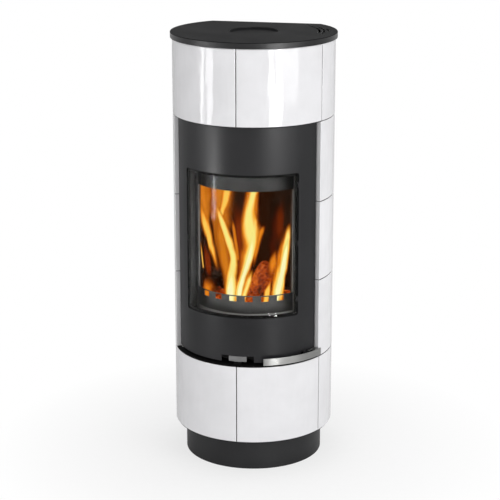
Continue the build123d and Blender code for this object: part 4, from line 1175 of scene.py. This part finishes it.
@dataclass
class Tongue:
    """One tongue of flame on an upright sheet round the fire.

    Args:
        name: The piece's name, after "flame_".
        heat: How hot it looks.
        hides: How far it hides what is behind.
        radius: Distance from the stove's axis.
        tip: Share of the length over which the tip fades.
        foot: Share of the length over which the foot fades.
        line: Azimuth in degrees, height and width in millimetres, from foot to tip.
    """

    STEPS = 40              # points along it
    COLUMNS = 12            # faces across it
    BULGE = 0.24            # its edges lie nearer the axis by a quarter of this share of its width

    name: str
    heat: Heat
    hides: float
    radius: float
    tip: float
    foot: float
    line: tuple[tuple[float, float, float], ...]

    def build(self) -> None:
        """Makes the tongue as a curved ribbon."""
        spots = [Vector((self.radius * math.radians(a), z / 1000, 0.0)) for a, z, _ in self.line]
        route = smooth_path(spots, self.STEPS)
        widths = smooth_path([Vector((w / 1000, 0, 0)) for _, _, w in self.line], self.STEPS)
        last = self.STEPS - 1
        mesh = bmesh.new()
        bmesh.ops.create_grid(mesh, x_segments=self.COLUMNS, y_segments=last, size=0.5, calc_uvs=True)
        layer = mesh.loops.layers.uv.verify()
        for face in mesh.faces:
            for loop in face.loops:
                loop[layer].uv = (loop.vert.co.x + 0.5, loop.vert.co.y + 0.5)
        for vertex in mesh.verts:
            across, along = vertex.co.x, round((vertex.co.y + 0.5) * last)
            rise = (route[min(along + 1, last)] - route[max(along - 1, 0)]).normalized()
            width = widths[along].x
            spot = route[along] + Vector((rise.y, -rise.x, 0.0)) * across * width
            depth = self.radius - self.BULGE * width * across * across
            vertex.co = polar(depth, math.degrees(spot.x / self.radius), spot.y)
        name = "flame_" + self.name
        look = (*self.heat.value, self.hides, self.foot, self.tip)
        finish_piece(mesh, name, Flame(name.replace("_", " "), "firebrick", *look))


@dataclass
class Log:
    """One burning log from start to end, whose seed says where its bark starts in the noise."""

    SIDES = 40
    RING = 0.004            # length of a ring of faces
    END_RINGS = 3
    END_INSET = 0.24        # as a share of the radius, like the next two
    BARK_HEIGHT = 0.18
    BURNT_OFF = 0.34
    RAGGED_END = 0.05       # as a share of half the length
    BARK_RIDGES = 34.0      # per metre round the log
    BARK_DRAWN = 0.35       # ridges along the log as a share of those round it
    END_POWER = 7           # how sharply the burning off sets in towards the ends
    SQUASH = 0.92

    name: str
    start: Vector
    end: Vector
    radius: float
    finish: Finish
    seed: float

    def build(self) -> None:
        """Makes the log from a rod, its bark pushed in and out."""
        mesh = bmesh.new()
        run = self.end - self.start
        length = run.length
        bmesh.ops.create_cone(
            mesh, cap_ends=True, segments=self.SIDES, radius1=self.radius, radius2=self.radius, depth=length
        )
        sides = [edge for edge in mesh.edges if abs(edge.verts[0].co.z - edge.verts[1].co.z) > length / 2]
        bmesh.ops.subdivide_edges(mesh, edges=sides, cuts=round(length / self.RING), use_grid_fill=True)
        ends = [face for face in mesh.faces if len(face.verts) > 4]
        for end in ends:
            for _ in range(self.END_RINGS):
                bmesh.ops.inset_region(mesh, faces=[end], thickness=self.radius * self.END_INSET)
        bmesh.ops.poke(mesh, faces=ends)
        bmesh.ops.translate(mesh, verts=mesh.verts[:], vec=(0, 0, length / 2))
        for vertex in mesh.verts:
            spot = vertex.co * self.BARK_RIDGES + Vector((self.seed, 0, 0))
            spot.z *= self.BARK_DRAWN
            ridge = noise.fractal(spot, 1.0, 2.2, 4)
            near_end = abs(2 * vertex.co.z / length - 1) ** self.END_POWER
            taper = 1.0 + self.BARK_HEIGHT * ridge - self.BURNT_OFF * near_end
            depth = length / 2 + (vertex.co.z - length / 2) * (1 - self.RAGGED_END * ridge)
            vertex.co = Vector((vertex.co.x * taper, vertex.co.y * self.SQUASH * taper, depth))
        bmesh.ops.recalc_face_normals(mesh, faces=mesh.faces[:])
        turn = run.to_track_quat("Z", "X").to_matrix().to_4x4()
        bmesh.ops.transform(mesh, matrix=Matrix.Translation(self.start) @ turn, verts=mesh.verts[:])
        finish_piece(mesh, "log_" + self.name, self.finish)


@dataclass
class EmberBed:
    """The bed of embers that shows through the guard's holes."""

    SIDES = 72
    RINGS = (0.012, *[0.013] * 9)    # widths from the edge inwards
    CUTS = 2
    LUMPS = 48.0            # per metre
    EDGE = 0.985            # share of the radius beyond which the bed lies on its bottom

    radius: float = 0.152
    bottom: float = 0.4985
    middle: float = 0.501
    heap: float = 0.036
    lump: float = 0.008
    back: float = 0.112

    def build(self) -> None:
        """Makes the bed from a disc, heaped up against the guard."""
        mesh = bmesh.new()
        bmesh.ops.create_circle(mesh, cap_ends=True, segments=self.SIDES, radius=self.radius)
        for width in self.RINGS:
            disc = max(mesh.faces, key=lambda face: len(face.verts))
            bmesh.ops.inset_region(mesh, faces=[disc], thickness=width, use_even_offset=True)
        bmesh.ops.triangulate(mesh, faces=[max(mesh.faces, key=lambda face: len(face.verts))])
        bmesh.ops.subdivide_edges(mesh, edges=mesh.edges[:], cuts=self.CUTS, use_grid_fill=True)
        for vertex in mesh.verts:
            reach = math.hypot(vertex.co.x, vertex.co.y) / self.radius
            lumps = noise.fractal(vertex.co * self.LUMPS, 1.0, 2.1, 4)
            front = max(0.0, -vertex.co.y / self.radius)
            height = self.middle + self.heap * front * reach * reach + self.lump * lumps
            vertex.co.z = max(self.bottom, height) if reach < self.EDGE else self.bottom
            vertex.co.y = min(vertex.co.y, self.back)
        bmesh.ops.recalc_face_normals(mesh, faces=mesh.faces[:])
        finish_piece(mesh, "ember_bed", EMBERS)


@dataclass
class Glow:
    """A small lamp in the fire, with a power in watts, for its light on the bricks."""

    name: str
    place: Vector
    power: float
    colour: Colour = (1.0, 0.42, 0.12)
    softness: float = 0.045

    def build(self) -> None:
        """Makes the lamp, unseen by the eye, through the pane and in gloss."""
        data = bpy.data.lights.new(self.name, "POINT")
        data.energy = self.power
        data.color = self.colour
        data.shadow_soft_size = self.softness
        lamp = stand(self.name, data)
        lamp.location = self.place
        lamp.visible_camera = False
        lamp.visible_transmission = False
        lamp.visible_glossy = False


class Fire:
    """The fire: an ember bed, logs and flames, all inside the fire chamber."""

    def tongues(self) -> tuple[Tongue, ...]:
        """Lists the flames, from the back of the fire to its front.

        Returns:
            The tongues of flame.
        """
        white, pale, yellow, orange, sheet, smoke, glow, red = Heat
        rows = (
            ("smoke_right", smoke, 0.8, 0.110, 0.05, 0.04, (28, 540, 150), (30, 700, 170), (30, 895, 160)),
            ("smoke_middle", smoke, 0.7, 0.125, 0.05, 0.04, (2, 540, 120), (0, 700, 130), (-2, 895, 130)),
            ("red_right", red, 0.9, 0.140, 0.4, 0.3, (34, 640, 40), (40, 740, 70), (46, 850, 50)),
            ("glow_right", glow, 0.45, 0.142, 0.4, 0.4, (44, 690, 50), (47, 770, 60), (50, 860, 50)),
            ("glow_middle", glow, 0.75, 0.149, 0.4, 0.1, (-5, 600, 36), (-4, 680, 46), (-6, 760, 56),
             (-8, 860, 66)),
            ("smoke_left", smoke, 1.0, 0.174, 0.2, 0.04, (-58, 500, 120), (-58, 640, 120), (-58, 800, 120)),
            ("sheet_left", sheet, 0.95, 0.150, 0.02, 0.04, (-20, 545, 60), (-23, 640, 80), (-31, 740, 130),
             (-35, 830, 170), (-34, 900, 170)),
            ("sheet_upper", sheet, 1.0, 0.1765, 0.02, 0.35, (-50, 730, 90), (-50, 800, 170),
             (-50, 905, 180)),
            ("left_glow", sheet, 1.0, 0.152, 0.3, 0.3, (-20, 560, 50), (-22, 640, 80), (-27, 720, 90),
             (-36, 800, 80)),
            ("glow_left", glow, 0.85, 0.1745, 0.4, 0.3, (-40, 590, 50), (-44, 650, 70), (-49, 715, 56)),
            ("low_left", orange, 0.9, 0.1765, 0.45, 0.3, (-50, 512, 80), (-43, 548, 110), (-30, 590, 90)),
            ("left_edge", yellow, 1.0, 0.1770, 0.35, 0.35, (-26, 620, 24), (-30, 660, 44), (-36, 705, 60),
             (-43, 745, 76), (-51, 790, 90), (-56, 840, 70)),
            ("left_tip", yellow, 1.0, 0.155, 0.02, 0.2, (-29, 788, 26), (-26, 815, 36), (-22.5, 845, 44),
             (-17, 903, 50)),
            ("left_curl", pale, 1.0, 0.158, 0.18, 0.04, (-17, 500, 66), (-16, 551, 66), (-14, 593, 62),
             (-11.3, 658, 50), (-13.6, 690, 50), (-19.5, 735, 48), (-27.6, 790, 40), (-38, 842, 26)),
            ("left_core", white, 1.0, 0.160, 0.5, 0.04, (-16.5, 500, 40), (-15.5, 551, 40),
             (-13.5, 593, 34), (-11.5, 650, 20)),
            ("faint_left", orange, 0.8, 0.154, 0.25, 0.04, (-6, 660, 18), (-9.1, 729, 24), (-13, 795, 14)),
            ("middle_halo", orange, 0.9, 0.152, 0.02, 0.04, (-4, 545, 50), (2, 640, 70), (8, 740, 96),
             (8, 800, 84), (12, 903, 60)),
            ("middle", pale, 1.0, 0.158, 0.01, 0.04, (-6, 500, 36), (-4.6, 551, 36), (-1.7, 596, 38),
             (3.4, 646, 46), (7.0, 687, 54), (9.4, 728, 66), (9.4, 764, 78), (7.4, 805, 58), (8.6, 840, 44),
             (13.5, 904, 44)),
            ("middle_core", white, 1.0, 0.160, 0.4, 0.04, (-5.6, 500, 22), (-4.0, 551, 22), (-0.9, 596, 24),
             (4.4, 646, 26), (8.2, 687, 28), (10.4, 728, 24), (10.6, 760, 12)),
            ("middle_right", pale, 1.0, 0.160, 0.3, 0.04, (-1, 500, 30), (2, 552, 34), (7.2, 598, 36),
             (11.0, 640, 24)),
            ("faint_right", orange, 0.9, 0.156, 0.25, 0.3, (11.5, 635, 18), (17.3, 728, 30),
             (24.5, 778, 18)),
            ("log_right", yellow, 1.0, 0.158, 0.4, 0.04, (24, 510, 34), (28, 560, 30), (32, 604, 14)),
            ("log_top", orange, 0.9, 0.158, 0.4, 0.5, (31, 595, 50), (34, 650, 50), (38, 700, 24)),
            ("right_halo", orange, 0.95, 0.152, 0.4, 0.04, (40, 500, 80), (43, 600, 84), (48, 680, 76),
             (54, 770, 50)),
            ("right", pale, 1.0, 0.158, 0.2, 0.04, (37, 500, 64), (39.7, 545, 66), (43.3, 588, 64),
             (47.5, 642, 58), (51.5, 690, 54), (54.5, 735, 44), (56.5, 775, 22)),
            ("right_core", white, 1.0, 0.160, 0.3, 0.04, (36.5, 500, 36), (39, 545, 38), (42.8, 588, 36),
             (47.2, 642, 34), (51.2, 690, 28), (54, 730, 16)),
            ("far_left", yellow, 1.0, 0.1785, 0.5, 0.05, (-49, 618, 12), (-51.8, 650, 14), (-54, 680, 12),
             (-56, 705, 8)),
        )
        return tuple(Tongue(*row[:6], row[6:]) for row in rows)

    def logs(self) -> tuple[Log, ...]:
        """Lists the logs.

        Returns:
            The logs.
        """
        return (
            Log("glowing", polar(0.118, 4.0, 0.515), polar(0.122, 38.0, 0.640), 0.032, HOT_LOG, 3.1),
            Log("charred", polar(0.165, -62.0, 0.601), polar(0.152, -34.0, 0.609), 0.018, DARK_LOG, 8.7),
            Log("back", Vector((-0.115, 0.02, 0.545)), Vector((0.10, -0.03, 0.575)), 0.034, DARK_LOG, 14.2),
            Log(
                "under", Vector((-0.11, -0.075, 0.515)), Vector((0.115, -0.06, 0.525)), 0.026, HOT_LOG, 21.9
            ),
            Log("short", Vector((0.03, 0.075, 0.53)), Vector((-0.06, -0.05, 0.60)), 0.024, DARK_LOG, 30.4),
        )

    def glows(self) -> tuple[Glow, ...]:
        """Lists the fire's lamps."""
        left = Glow("fire glow left", polar(0.085, -30.0, 0.66), 0.35)
        return left, Glow("fire glow middle", polar(0.06, 10.0, 0.74), 0.25)

    def build(self) -> None:
        """Makes the fire and its glow on the bricks."""
        for part in (*self.logs(), EmberBed(), *self.tongues(), *self.glows()):
            part.build()


def main() -> None:
    """Builds the stove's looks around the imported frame."""
    logging.basicConfig(level=logging.INFO, format="%(name)s: %(message)s")
    Viewpoint().build()
    Studio().build()
    Cladding().build()
    Steelwork().build()
    Fire().build()


if __name__ == "__main__":
    main()
